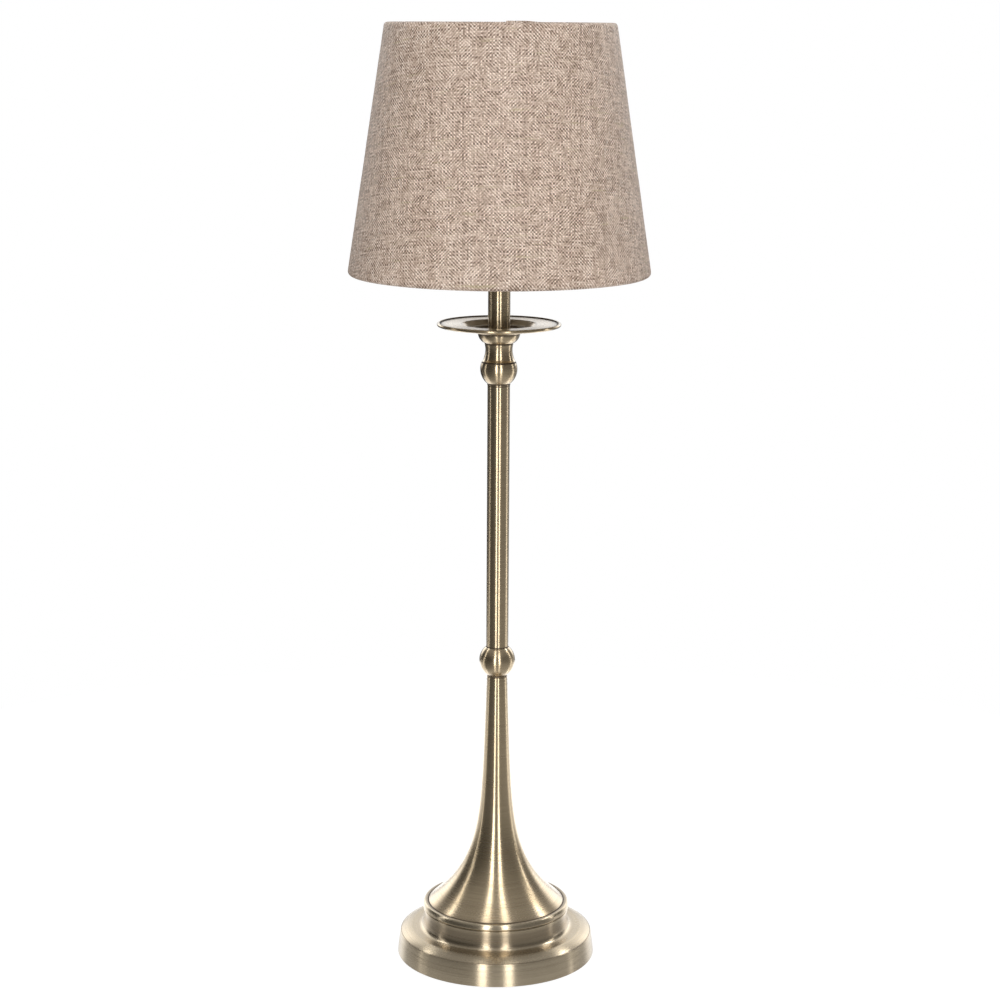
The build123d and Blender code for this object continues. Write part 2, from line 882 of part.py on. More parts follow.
def filament_wires():
    """The two wire rings that hold the filaments' ends, with spokes to the stem."""
    low = stem_height + stem_radius
    high = stem_height + filament_length
    wires = []
    for radius, height in ((filament_ring_radius, low), (filament_top_radius, high)):
        bar = extrude(Plane.YZ * Circle(filament_wire_radius), radius, both=True)
        ring = Torus(radius, filament_wire_radius)
        wires.append(lifted(ring + bar, glass_z + height) - lamp_stem())
    return wires


def filaments():
    """The light rods that lean from the lower wire ring to the upper one."""
    gap = filament_radius + filament_wire_radius
    low = glass_z + stem_height + stem_radius + gap
    high = glass_z + stem_height + filament_length - gap
    route = Line((filament_ring_radius, 0, low), (filament_top_radius, 0, high))
    section = Plane(route @ 0, z_dir=route % 0) * Circle(filament_radius)
    rod = sweep(section, path=route)
    step = 360 / filament_count
    return [Rot(0, 0, step / 2 + step * index) * rod for index in range(filament_count)]


def write(node, shape):
    """One STEP file for a node, with each of its solids apart."""
    shapes = shape if isinstance(shape, list) else [shape]
    solids = [solid for piece in shapes for solid in piece.solids()]
    export_step(Compound(children=solids), f"parts/{node}.step")


pieces = {
    "base_pad": base_pad,
    "base_shell": base_shell,
    "base_weight": base_weight,
    "bottom_washer": bottom_washer,
    "bottom_nut": bottom_nut,
    "threaded_rod": threaded_rod,
    "cord_inlet_bush": cord_inlet_bush,
    "trumpet_stem": trumpet_stem,
    "trumpet_collar": trumpet_collar,
    "lower_ball": lower_ball,
    "column_tube": column_tube,
    "column_bush_lower": lambda: column_bush(column_z),
    "column_bush_upper": lambda: column_bush(column_top_z - column_bush_length),
    "upper_ball": upper_ball,
    "vase_neck": vase_neck,
    "pan_cup": pan_cup,
    "drip_pan": drip_pan,
    "candle_tube": candle_tube,
    "candle_bush_lower": lambda: candle_bush(candle_z),
    "candle_bush_upper": lambda: candle_bush(candle_top_z - candle_bush_length),
    "top_washer": top_washer,
    "holder_cap": holder_cap,
    "holder_sleeve": holder_sleeve,
    "holder_core": holder_core,
    "holder_screw_shell": holder_screw_shell,
    "holder_contact": holder_contact,
    "terminal_screws": terminal_screws,
    "lower_shade_ring": lower_shade_ring,
    "upper_shade_ring": upper_shade_ring,
    "shade_fitter": shade_fitter,
    "shade_bottom_hoop": lambda: hoop(hoop_depth),
    "shade_top_hoop": lambda: hoop(slant_length - hoop_depth),
    "shade_lining": shade_lining,
    "shade_fabric": shade_fabric,
    "lamp_contact": lamp_contact,
    "lamp_insulator": lamp_insulator,
    "lamp_cap": lamp_cap,
    "lamp_glass": lamp_glass,
    "lamp_stem": lamp_stem,
    "filament_wires": filament_wires,
    "filaments": filaments,
}

os.makedirs("parts", exist_ok=True)
for name, build in pieces.items():
    write(name, build())
print("shade top", round(shade_z + shade_height, 1), "lamp tip", round(lamp_z + lamp_length, 1))
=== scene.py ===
"""A candlestick table lamp in antique brass with a tapered linen shade, dressed for the camera.

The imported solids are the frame. Turned metal is turned again here with its fine edges, the linen is
laid over the shade with its rolled rims and lapped seam, and every piece gets its finish. Lengths are
metres where the frame or a material takes them and millimetres in the pieces' own sizes. +Z is up and
the lamp's axis is Z.
"""

from __future__ import annotations

import logging
import math
from collections.abc import Callable, Iterable, Sequence
from dataclasses import dataclass, field
from enum import Enum
from functools import cache
from typing import NamedTuple

import bpy
from mathutils import Matrix, Vector, noise


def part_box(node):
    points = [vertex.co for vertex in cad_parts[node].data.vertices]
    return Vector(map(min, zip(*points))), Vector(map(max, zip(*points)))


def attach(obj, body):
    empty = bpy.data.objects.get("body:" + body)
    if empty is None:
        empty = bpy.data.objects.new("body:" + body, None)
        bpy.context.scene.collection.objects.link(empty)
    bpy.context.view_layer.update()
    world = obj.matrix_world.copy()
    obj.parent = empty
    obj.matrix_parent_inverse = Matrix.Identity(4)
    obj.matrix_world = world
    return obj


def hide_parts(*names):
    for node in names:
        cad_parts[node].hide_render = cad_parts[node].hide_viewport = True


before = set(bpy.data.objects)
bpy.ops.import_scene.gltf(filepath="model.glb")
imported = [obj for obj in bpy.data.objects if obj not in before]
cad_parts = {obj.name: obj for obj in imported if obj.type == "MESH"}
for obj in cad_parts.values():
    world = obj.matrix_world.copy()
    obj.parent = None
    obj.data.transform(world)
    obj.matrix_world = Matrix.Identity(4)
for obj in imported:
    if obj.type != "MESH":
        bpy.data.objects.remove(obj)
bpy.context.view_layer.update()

log = logging.getLogger("candle_lamp")

Colour = tuple[float, float, float]
Place = tuple[float, float]
Place3 = tuple[float, float, float]
Shape = Callable[[float, float, float], float]
Output = bpy.types.NodeSocket
Given = bpy.types.NodeSocket | float | Sequence[float]

MM = 0.001
TURN = 2 * math.pi
TINY = 1e-6
ORIGIN = (0.0, 0.0, 0.0)
WHITE = (1.0, 1.0, 1.0)
SEAM_CORE = 0.3
SEAM_FADE = 0.45
LEAST_RUN = 0.05
FULL_BEND = 3.0
ON_AXIS = 0.001
EASED_SHARE = 0.4
EASED_STEPS = 4
WELD_REACH = 0.01
SHARP_ANGLE = 40.0


class Socket(Enum):
    """What a node group's socket carries."""

    VALUE = "NodeSocketFloat"
    VECTOR = "NodeSocketVector"


class Body(Enum):
    """The moving bodies of the lamp."""

    STAND = "stand"
    RING_BELOW = "ring_below"
    SHADE = "shade"
    RING_ABOVE = "ring_above"
    LAMP_TIP = "lamp_tip"
    LAMP = "lamp"


def grey(level: float) -> Colour:
    """A grey of this level."""
    return (level, level, level)


def opaque(value: Given) -> Given:
    """A colour with its alpha, where it has none."""
    return (*value, 1.0) if isinstance(value, tuple) and len(value) == 3 else value


@dataclass
class Wiring:
    """A node tree while it is being wired."""

    tree: bpy.types.NodeTree

    def feed(self, node: bpy.types.Node, values: dict[int | str, Given]) -> None:
        """Feeds a node's inputs: an output is linked, and a number or a tuple is set.

        Args:
            node: the node.
            values: what its inputs get, by their places or names.
        """
        for key, value in values.items():
            if isinstance(value, bpy.types.NodeSocket):
                self.tree.links.new(value, node.inputs[key])
            else:
                node.inputs[key].default_value = value

    def node(
        self, kind: str, *values: Given, named: dict[int | str, Given] | None = None, **settings: object
    ) -> bpy.types.Node:
        """Adds a node.

        Args:
            kind: the node's type, without its ShaderNode prefix.
            values: what its first inputs get.
            named: what other inputs get, by their places or names.
            settings: properties to set on it.

        Returns:
            The new node.
        """
        made = self.tree.nodes.new("ShaderNode" + kind)
        for name, value in settings.items():
            setattr(made, name, value)
        self.feed(made, {**dict(enumerate(values)), **(named or {})})
        return made

    def math(self, operation: str, *values: Given) -> Output:
        """One sum on numbers, by the Math node's name for it."""
        return self.node("Math", *values, operation=operation).outputs[0]

    def plus(self, first: Given, second: Given) -> Output:
        """The sum of two numbers."""
        return self.math("ADD", first, second)

    def minus(self, first: Given, second: Given) -> Output:
        """The first number less the second."""
        return self.math("SUBTRACT", first, second)

    def times(self, first: Given, second: Given) -> Output:
        """The product of two numbers."""
        return self.math("MULTIPLY", first, second)

    def over(self, first: Given, second: Given) -> Output:
        """The first number divided by the second."""
        return self.math("DIVIDE", first, second)

    def joined(self, x: Given, y: Given, z: Given = 0.0) -> Output:
        """A vector from three numbers."""
        return self.node("CombineXYZ", x, y, z).outputs[0]

    def scaled(self, place: tuple[Given, Given], scales: Place, seed: float = 0.0) -> Output:
        """A flat place with both of its numbers scaled, and a third that sets it apart."""
        return self.joined(self.times(place[0], scales[0]), self.times(place[1], scales[1]), seed)

    def parts(self, value: Given) -> list[Output]:
        """The three numbers of a vector."""
        return list(self.node("SeparateXYZ", value).outputs)

    def blend(self, share: Given, low: Given, high: Given) -> Output:
        """Two colours mixed, with this share of the second."""
        colours = {0: share, 6: opaque(low), 7: opaque(high)}
        return self.node("Mix", named=colours, data_type="RGBA").outputs[2]

    def mix(self, share: Given, low: Given, high: Given) -> Output:
        """Two numbers mixed, with this share of the second."""
        return self.node("Mix", named={0: share, 2: low, 3: high}, data_type="FLOAT").outputs[0]

    def span(self, value: Given, start: float, end: float, low: Given = 0.0, high: Given = 1.0) -> Output:
        """A number carried smoothly from one range to another, and held at its ends."""
        return self.node("MapRange", value, start, end, low, high, interpolation_type="SMOOTHSTEP").outputs[0]

    def noise(self, place: Given, scale: float = 1.0, detail: float = 2.0, rough: float = 0.5) -> Output:
        """Smooth noise from 0 to 1, by how fine it is, how many finer layers it has and their strength."""
        named = {"Vector": place, "Scale": scale, "Detail": detail, "Roughness": rough}
        return self.node("TexNoise", named=named).outputs["Fac"]

    def chance(self, x: Given, y: Given) -> Output:
        """A number from 0 to 1 that has nothing to do with its neighbours'."""
        return self.node("TexWhiteNoise", self.joined(x, y), noise_dimensions="2D").outputs["Value"]

    def stored(self, name: str, output: str = "Fac") -> Output:
        """A value that the mesh carries under this name."""
        return self.node("Attribute", attribute_name=name).outputs[output]

    def place(self) -> Output:
        """The object's own coordinates."""
        return self.node("TexCoord").outputs["Object"]

    def bump(self, height: Given, strength: float, distance: float) -> Output:
        """A normal from a height of 0 to 1, by the share of it that shows and the real height of 1."""
        named = {"Height": height, "Strength": strength, "Distance": distance}
        return self.node("Bump", named=named).outputs[0]


class Effect:
    """A shader effect kept as one node group, built once and placed in each material."""

    name: str
    inputs: dict[str, tuple[Socket, Given]]
    outputs: dict[str, Socket]

    def wire(self, wiring: Wiring, entry: bpy.types.Node, leave: bpy.types.Node) -> None:
        """Wires the group from its inputs to its outputs.

        Args:
            wiring: the group's tree.
            entry: the node that holds its inputs.
            leave: the node that takes its outputs.
        """
        raise NotImplementedError

    def group(self) -> bpy.types.NodeTree:
        """The group's tree, built the first time.

        Returns:
            The node group.
        """
        tree = bpy.data.node_groups.get(self.name)
        if tree:
            return tree
        tree = bpy.data.node_groups.new(self.name, "ShaderNodeTree")
        for name, (kind, default) in self.inputs.items():
            made = tree.interface.new_socket(name=name, in_out="INPUT", socket_type=kind.value)
            made.default_value = default
        for name, kind in self.outputs.items():
            tree.interface.new_socket(name=name, in_out="OUTPUT", socket_type=kind.value)
        self.wire(Wiring(tree), tree.nodes.new("NodeGroupInput"), tree.nodes.new("NodeGroupOutput"))
        return tree

    def placed(self, wiring: Wiring, **values: Given) -> bpy.types.Node:
        """The group as a node in another tree, with values for its inputs by their names."""
        return wiring.node("Group", named=values, node_tree=self.group())


class TurnedLines(Effect):
    """The fine rings that a cutting tool or polishing cloth leaves round a turned piece."""

    name = "turned lines"
    inputs = {
        "Along": (Socket.VALUE, 0.0),
        "Place": (Socket.VECTOR, ORIGIN),
        "Spacing": (Socket.VALUE, 0.0004),
        "Reach": (Socket.VALUE, 0.03),
    }
    outputs = {"Height": Socket.VALUE, "Tone": Socket.VALUE}
    broad_scale = 0.2
    broad_share = 0.7
    tone_range = (0.34, 0.66)

    def wire(self, wiring: Wiring, entry: bpy.types.Node, leave: bpy.types.Node) -> None:
        """Reads noise that is fine along the outline and slow round the axis.

        Args:
            wiring: the group's tree.
            entry: the node that holds its inputs.
            leave: the node that takes its outputs.
        """
        x, y, _ = wiring.parts(entry.outputs["Place"])
        reach = entry.outputs["Reach"]
        steps = wiring.over(entry.outputs["Along"], entry.outputs["Spacing"])
        around = (wiring.over(x, reach), wiring.over(y, reach))
        fine = wiring.noise(wiring.joined(steps, *around), rough=0.6)
        slow = wiring.times(steps, self.broad_scale)
        broad = wiring.noise(wiring.joined(slow, *around), detail=4.0, rough=0.75)
        both = wiring.plus(wiring.times(fine, 1 - self.broad_share), wiring.times(broad, self.broad_share))
        wiring.feed(leave, {"Height": fine, "Tone": wiring.span(both, *self.tone_range)})


class Mottle(Effect):
    """Slow uneven patches, as plating, cloth and castings have."""

    name = "mottle"
    inputs = {"Place": (Socket.VECTOR, ORIGIN), "Size": (Socket.VALUE, 0.02)}
    outputs = {"Tone": Socket.VALUE, "Fine": Socket.VALUE}
    fine_scale = 9.0
    tone_range = (0.3, 0.7)
    fine_range = (0.3, 0.7)

    def wire(self, wiring: Wiring, entry: bpy.types.Node, leave: bpy.types.Node) -> None:
        """Two scales of noise over the piece's own size of patch.

        Args:
            wiring: the group's tree.
            entry: the node that holds its inputs.
            leave: the node that takes its outputs.
        """
        finer = {"Scale": wiring.over(1.0, entry.outputs["Size"])}
        scaled = wiring.node("VectorMath", entry.outputs["Place"], named=finer, operation="SCALE")
        slow = wiring.noise(scaled.outputs[0], detail=3.0, rough=0.55)
        inputs = {
            "Tone": wiring.span(slow, *self.tone_range),
            "Fine": wiring.noise(scaled.outputs[0], self.fine_scale, rough=0.6),
        }
        wiring.feed(leave, inputs)


class Dust(Effect):
    """A thin film on what faces up."""

    name = "dust"
    inputs = {"Place": (Socket.VECTOR, ORIGIN), "Amount": (Socket.VALUE, 0.1)}
    outputs = {"Mask": Socket.VALUE}
    least_upward = 0.55
    speck_scale = 900.0
    speck_range = (0.42, 0.7)
    least_speck = 0.35

    def wire(self, wiring: Wiring, entry: bpy.types.Node, leave: bpy.types.Node) -> None:
        """Takes the upward share of the surface and breaks it up.

        Args:
            wiring: the group's tree.
            entry: the node that holds its inputs.
            leave: the node that takes its outputs.
        """
        normal = wiring.node("NewGeometry").outputs["Normal"]
        upward = wiring.span(wiring.parts(normal)[2], self.least_upward, 1.0)
        broken = wiring.noise(entry.outputs["Place"], self.speck_scale, 3.0, 0.6)
        specks = wiring.span(broken, *self.speck_range, self.least_speck)
        mask = wiring.times(wiring.times(upward, specks), entry.outputs["Amount"])
        wiring.feed(leave, {"Mask": mask})


class Weave(Effect):
    """A plain weave of uneven threads, read in the cloth's own flat coordinates."""

    name = "weave"
    inputs = {"Cloth": (Socket.VECTOR, ORIGIN), "Pitch": (Socket.VALUE, 0.001)}
    outputs = {"Height": Socket.VALUE, "Tone": Socket.VALUE, "Gap": Socket.VALUE, "Tint": Socket.VALUE}
    warp_seed = 3.0
    weft_seed = 11.0
    slub_scales = (1.37, 0.12)
    slub_range = (0.3, 0.7)
    own_share = 0.3
    band_scales = (170.0, 22.0)
    band_shift = 1.2
    warp_band_seed = 0.0
    weft_band_seed = 4.0
    lean_scale = 60.0
    lean_range = (0.46, 0.6)
    lean_ends = (0.1, 0.8)
    slow_scales = (70.0, 25.0)
    crest_highlight_strength = 0.4
    crossing_strength = 0.4
    thread_strength = 0.85
    slow_strength = 0.18
    gap_height = 0.5
    tint_scales = (0.04, 0.3)
    tint_seed = 5.0

    def thread(self, wiring: Wiring, across: Given, along: Given, seed: float) -> tuple[Output, Output]:
        """One set of threads.

        Args:
            wiring: the group's tree.
            across: the place across the threads, in threads.
            along: the place along them, in threads.
            seed: sets this set apart from the other.

        Returns:
            The thread's round height, from 0 to 1, and its tone, from 0 to 1.
        """
        number = wiring.math("FLOOR", across)
        round_height = wiring.math("ABSOLUTE", wiring.math("SINE", wiring.times(across, math.pi)))
        spot = wiring.scaled((number, along), self.slub_scales, seed)
        slubs = wiring.span(wiring.noise(spot, detail=1.0), *self.slub_range)
        return round_height, wiring.mix(self.own_share, slubs, wiring.chance(number, seed))

    def spacing(self, wiring: Wiring, across: Given, along: Given, seed: float) -> Output:
        """How far uneven spacing moves one set of threads.

        Args:
            wiring: the group's tree.
            across: the place across the threads, in metres.
            along: the place along them, in metres.
            seed: sets this set apart from the other.

        Returns:
            The shift, in threads.
        """
        bands = wiring.noise(wiring.scaled((across, along), self.band_scales, seed), detail=3.0, rough=0.65)
        return wiring.times(wiring.minus(bands, 0.5), self.band_shift)

    def crest_highlights(self, wiring: Wiring, right: Given, up: Given, lean: Given) -> Output:
        """Painted highlight and shade on the thread crests: the warp painted light and the weft painted dark
        where each lies on top, slanted by the threads' twist.

        Args:
            wiring: the group's tree.
            right: the place across the warp, in threads.
            up: the place across the weft, in threads.
            lean: which way the twist slants them, from 0 to 1.

        Returns:
            The tone, from -1 to 1.
        """
        rising = wiring.math("COSINE", wiring.times(wiring.minus(right, up), math.pi))
        falling = wiring.math("COSINE", wiring.times(wiring.plus(right, up), math.pi))
        return wiring.minus(wiring.times(rising, lean), wiring.times(falling, wiring.minus(1.0, lean)))

    def wire(self, wiring: Wiring, entry: bpy.types.Node, leave: bpy.types.Node) -> None:
        """Crosses two sets of threads, each over the other in turn.

        Args:
            wiring: the group's tree.
            entry: the node that holds its inputs.
            leave: the node that takes its outputs.
        """
        pitch, cloth = entry.outputs["Pitch"], entry.outputs["Cloth"]
        x, y, _ = wiring.parts(cloth)
        right = wiring.plus(wiring.over(x, pitch), self.spacing(wiring, x, y, self.warp_band_seed))
        up = wiring.plus(wiring.over(y, pitch), self.spacing(wiring, y, x, self.weft_band_seed))
        warp, warp_tone = self.thread(wiring, right, up, self.warp_seed)
        weft, weft_tone = self.thread(wiring, up, right, self.weft_seed)
        columns, rows = wiring.math("FLOOR", right), wiring.math("FLOOR", up)
        over = wiring.math("PINGPONG", wiring.plus(columns, rows), 1.0)
        warp_over = wiring.times(warp, wiring.plus(wiring.times(weft, 0.5), 0.5))
        weft_over = wiring.times(weft, wiring.plus(wiring.times(warp, 0.5), 0.5))
        height = wiring.mix(over, warp_over, weft_over)
        lean = wiring.span(wiring.noise(cloth, self.lean_scale, rough=0.6), *self.lean_range, *self.lean_ends)
        slow = wiring.noise(wiring.scaled((x, y), self.slow_scales))
        # The tone takes painted crest highlights as well as the threads' own tones.
        layers = (
            (self.crest_highlights(wiring, right, up, lean), self.crest_highlight_strength),
            (wiring.minus(wiring.chance(columns, rows), 0.5), self.crossing_strength),
            (wiring.minus(wiring.mix(over, warp_tone, weft_tone), 0.5), self.thread_strength),
            (wiring.minus(slow, 0.5), self.slow_strength),
        )
        tone = 0.5
        for layer, strength in layers:
            tone = wiring.plus(tone, wiring.times(layer, strength))
        patches = wiring.scaled((right, up), self.tint_scales, self.tint_seed)
        inputs = {
            "Height": height,
            "Tone": tone,
            # The gaps between threads get painted shade.
            "Gap": wiring.span(height, 0.0, self.gap_height, 1.0, 0.0),
            "Tint": wiring.noise(patches, detail=3.0, rough=0.6),
        }
        wiring.feed(leave, inputs)


@dataclass(frozen=True)
class Finish:
    """A finish: its name and how its material is wired."""

    name: str = "finish"

    def wire(self, wiring: Wiring, shader: bpy.types.Node) -> None:
        """Wires the effects into the shader.

        Args:
            wiring: the material's tree.
            shader: its Principled BSDF.
        """
        raise NotImplementedError

    @cache
    def material(self) -> bpy.types.Material:
        """The finish's material, built the first time.

        Returns:
            The material.
        """
        made = bpy.data.materials.new(self.name)
        made.use_nodes = True
        self.wire(Wiring(made.node_tree), made.node_tree.nodes["Principled BSDF"])
        return made


@dataclass(frozen=True)
class AntiqueBrass(Finish):
    """Brass plate under a brown patina, turned in fine rings and lacquered."""

    name: str = "antique_brass"
    bright: Colour = (0.565, 0.45, 0.285)
    dark: Colour = (0.42, 0.32, 0.193)
    worn: Colour = (0.66, 0.57, 0.42)
    brown: Colour = (0.2, 0.15, 0.095)
    groove: Colour = (0.045, 0.03, 0.018)
    dusty: Colour = (0.6, 0.57, 0.52)
    dust: float = 0.04
    patch: float = 0.03
    patch_share: float = 0.3
    brown_hollow: float = 0.3
    brown_share: float = 0.6
    groove_hollow: float = 0.9
    groove_share: float = 0.95
    worn_range: Place = (-0.2, -0.9)
    worn_share: float = 0.7
    rough: float = 0.26
    rough_change: float = 0.06
    stretch: float = 0.9
    stretch_turn: float = 0.25
    specular: float = 0.1
    lacquer: float = 0.85
    lacquer_rough: float = 0.22
    line_spacing: float = 0.00045
    line_reach: float = 0.2
    line_depth: float = 0.0000015
    seam_rough: float = 0.35

    def wire(self, wiring: Wiring, shader: bpy.types.Node) -> None:
        """Rings in tone, gloss and height, darker with patina in the hollows and at joints and with painted
        shade where a seam stands for it, and bright on worn edges.

        Args:
            wiring: the material's tree.
            shader: its Principled BSDF.
        """
        place, along, hollow = wiring.place(), wiring.stored("along"), wiring.stored("hollow")
        lines = TurnedLines().placed(
            wiring, Along=along, Place=place, Spacing=self.line_spacing, Reach=self.line_reach
        )
        patches = Mottle().placed(wiring, Place=place, Size=self.patch)
        tone = wiring.mix(self.patch_share, lines.outputs["Tone"], patches.outputs["Tone"])
        dust = Dust().placed(wiring, Place=place, Amount=self.dust).outputs["Mask"]
        # The brown and groove masks hold real patina in hollows and at joints, and painted shade from the
        # seams that stand for shade.
        brown_patina_and_shade = wiring.span(hollow, 0.0, self.brown_hollow, 0.0, self.brown_share)
        patina = wiring.span(hollow, self.brown_hollow, self.groove_hollow, 0.0, self.groove_share)
        rubbed = wiring.span(hollow, *self.worn_range, 0.0, self.worn_share)
        colour = wiring.blend(tone, self.dark, self.bright)
        layers = ((brown_patina_and_shade, self.brown), (patina, self.groove), (rubbed, self.worn), (dust, self.dusty))
        for share, layer in layers:
            colour = wiring.blend(share, colour, layer)
        bare = wiring.minus(1.0, patina)
        rough = wiring.plus(self.rough, wiring.times(wiring.minus(0.5, tone), self.rough_change))
        dulled = wiring.plus(rough, wiring.times(patina, self.seam_rough))
        tangent = wiring.node("Tangent", direction_type="RADIAL", axis="Z")
        inputs = {
            "Base Color": colour,
            "Metallic": bare,
            "Roughness": wiring.plus(dulled, dust),
            "Coat Weight": wiring.times(bare, self.lacquer),
            "Tangent": tangent.outputs[0],
            "Normal": wiring.bump(lines.outputs["Height"], 1.0, self.line_depth),
            "Coat Roughness": self.lacquer_rough,
            "Specular IOR Level": self.specular,
            "Anisotropic": self.stretch,
            "Anisotropic Rotation": self.stretch_turn,
        }
        wiring.feed(shader, inputs)


@dataclass(frozen=True)
class PlainMetal(Finish):
    """Bright or zinc-plated metal, faintly mottled."""

    name: str = "zinc_steel"
    light: Colour = (0.62, 0.63, 0.64)
    shade: Colour = (0.42, 0.43, 0.43)
    rough: float = 0.32
    rough_change: float = 0.12
    patch: float = 0.006
    relief: float = 0.00002
    relief_share: float = 0.3

    def wire(self, wiring: Wiring, shader: bpy.types.Node) -> None:
        """Patches of tone and gloss.

        Args:
            wiring: the material's tree.
            shader: its Principled BSDF.
        """
        patches = Mottle().placed(wiring, Place=wiring.place(), Size=self.patch)
        tone = patches.outputs["Tone"]
        rough = wiring.span(tone, 0.0, 1.0, self.rough + self.rough_change, self.rough)
        normal = wiring.bump(patches.outputs["Fine"], self.relief_share, self.relief)
        inputs = {
            "Base Color": wiring.blend(tone, self.shade, self.light),
            "Roughness": rough,
            "Normal": normal,
            "Metallic": 1.0,
        }
        wiring.feed(shader, inputs)


@dataclass(frozen=True)
class Grained(Finish):
    """A solid colour with a fine grain: mouldings, castings, paint, foam and glaze."""

    name: str = "moulded"
    light: Colour = (0.05, 0.05, 0.05)
    shade: Colour = (0.02, 0.02, 0.02)
    rough: float = 0.45
    rough_change: float = 0.06
    grain: float = 0.0008
    grains_in_patch: float = 12.0
    depth: float = 0.00003
    depth_share: float = 0.6
    dust: float = 0.08
    dusty: Colour = (0.5, 0.48, 0.45)
    coat: float = 0.0

    def wire(self, wiring: Wiring, shader: bpy.types.Node) -> None:
        """Grain in tone, gloss and height with a little dust on top.

        Args:
            wiring: the material's tree.
            shader: its Principled BSDF.
        """
        place = wiring.place()
        patches = Mottle().placed(wiring, Place=place, Size=self.grain * self.grains_in_patch)
        dust = Dust().placed(wiring, Place=place, Amount=self.dust).outputs["Mask"]
        colour = wiring.blend(patches.outputs["Tone"], self.shade, self.light)
        smooth, dull = self.rough - self.rough_change, self.rough + self.rough_change
        gloss = wiring.span(patches.outputs["Fine"], *Mottle.fine_range, smooth, dull)
        grain = wiring.noise(place, 1 / self.grain, rough=0.6)
        inputs = {
            "Base Color": wiring.blend(dust, colour, self.dusty),
            "Roughness": wiring.plus(gloss, dust),
            "Normal": wiring.bump(grain, self.depth_share, self.depth),
            "Coat Weight": self.coat,
        }
        wiring.feed(shader, inputs)


@dataclass(frozen=True)
class Linen(Finish):
    """Taupe linen in a plain weave, with slubs and greenish-gold threads."""

    name: str = "linen"
    pale: Colour = (0.93, 0.79, 0.68)
    mid: Colour = (0.575, 0.43, 0.337)
    deep: Colour = (0.156, 0.1, 0.067)
    gold: Colour = (0.5, 0.42, 0.24)
    deep_tone: float = -0.1
    mid_tone: float = 0.5
    pale_tone: float = 1.1
    gold_range: Place = (0.6, 0.72)
    gold_share: float = 0.5
    gap_shade_share: float = 0.35
    rough: float = 0.5
    specular: float = 0.4
    pitch: float = 0.00114
    relief: float = 0.0002
    relief_share: float = 0.5

    def wire(self, wiring: Wiring, shader: bpy.types.Node) -> None:
        """Threads in tone and height, with painted shade in the gaps between them.

        Args:
            wiring: the material's tree.
            shader: its Principled BSDF.
        """
        weave = Weave().placed(wiring, Cloth=wiring.stored("cloth", "Vector"), Pitch=self.pitch)
        tone, tint = weave.outputs["Tone"], weave.outputs["Tint"]
        colour = wiring.blend(wiring.span(tone, self.deep_tone, self.mid_tone), self.deep, self.mid)
        colour = wiring.blend(wiring.span(tone, self.mid_tone, self.pale_tone), colour, self.pale)
        colour = wiring.blend(wiring.span(tint, *self.gold_range, 0.0, self.gold_share), colour, self.gold)
        # Painted shade in the gaps between threads.
        colour = wiring.blend(wiring.times(weave.outputs["Gap"], self.gap_shade_share), colour, self.deep)
        normal = wiring.bump(weave.outputs["Height"], self.relief_share, self.relief)
        inputs = {
            "Base Color": colour,
            "Normal": normal,
            "Roughness": self.rough,
            "Specular IOR Level": self.specular,
        }
        wiring.feed(shader, inputs)


@dataclass(frozen=True)
class Glass(Finish):
    """Clear lamp glass with a faint waviness."""

    name: str = "clear_glass"
    tinted: Colour = (0.96, 0.98, 0.98)
    refraction: float = 1.46
    ripple: float = 0.012
    rough: float = 0.03
    relief: float = 0.00003
    relief_share: float = 0.1

    def wire(self, wiring: Wiring, shader: bpy.types.Node) -> None:
        """Full transmission and a slow ripple.

        Args:
            wiring: the material's tree.
            shader: its Principled BSDF.
        """
        ripple = Mottle().placed(wiring, Place=wiring.place(), Size=self.ripple)
        fine = ripple.outputs["Fine"]
        inputs = {
            "Base Color": wiring.blend(ripple.outputs["Tone"], self.tinted, WHITE),
            "Roughness": wiring.span(fine, *Mottle.fine_range, 0.0, self.rough),
            "Normal": wiring.bump(fine, self.relief_share, self.relief),
            "Transmission Weight": 1.0,
            "IOR": self.refraction,
        }
        wiring.feed(shader, inputs)


BRASS = AntiqueBrass()
SPUN_BRASS = AntiqueBrass(bright=(0.56, 0.472, 0.335), dark=(0.42, 0.34, 0.232), lacquer=0.4)
ZINC = PlainMetal()
NICKEL = PlainMetal("nickel_shell", (0.78, 0.76, 0.72), (0.6, 0.58, 0.54), rough=0.22)
CONTACT = PlainMetal("contact_brass", (0.78, 0.6, 0.3), (0.55, 0.4, 0.2), rough=0.28)
CASTING = Grained("cast_weight", grey(0.12), grey(0.05), rough=0.75, grain=0.0012, depth=0.00018, dust=0.1)
FOAM = Grained("foam_pad", grey(0.035), grey(0.015), rough=0.92, grain=0.0007, depth=0.00012, dust=0.0)
BUSH = Grained("black_plastic", grey(0.03), grey(0.015), rough=0.42, grain=0.0005, depth=0.00002, dust=0.05)
HOLDER = Grained(
    "holder_plastic", (0.028, 0.027, 0.026), grey(0.014), rough=0.3, grain=0.0005, depth=0.000012, dust=0.1
)
GLAZE = Grained(
    "holder_ceramic",
    (0.82, 0.79, 0.72),
    (0.74, 0.7, 0.62),
    rough=0.2,
    grain=0.001,
    depth=0.00001,
    dust=0.05,
    coat=0.5,
)
PAINT = Grained(
    "white_wire", (0.86, 0.86, 0.84), (0.78, 0.78, 0.75), rough=0.35, grain=0.0009, depth=0.00002, dust=0.1
)
FILM = Grained(
    "shade_liner", (0.86, 0.84, 0.79), (0.8, 0.77, 0.72), rough=0.55, grain=0.0006, depth=0.00001, dust=0.0
)
BEAD = Grained(
    "black_glass",
    (0.02, 0.02, 0.025),
    (0.01, 0.01, 0.012),
    rough=0.12,
    grain=0.001,
    depth=0.000005,
    dust=0.0,
    coat=0.6,
)
PHOSPHOR = Grained(
    "phosphor", (0.86, 0.66, 0.2), (0.78, 0.56, 0.14), rough=0.6, grain=0.0003, depth=0.00003, dust=0.0
)
LINEN = Linen()
GLASS = Glass()


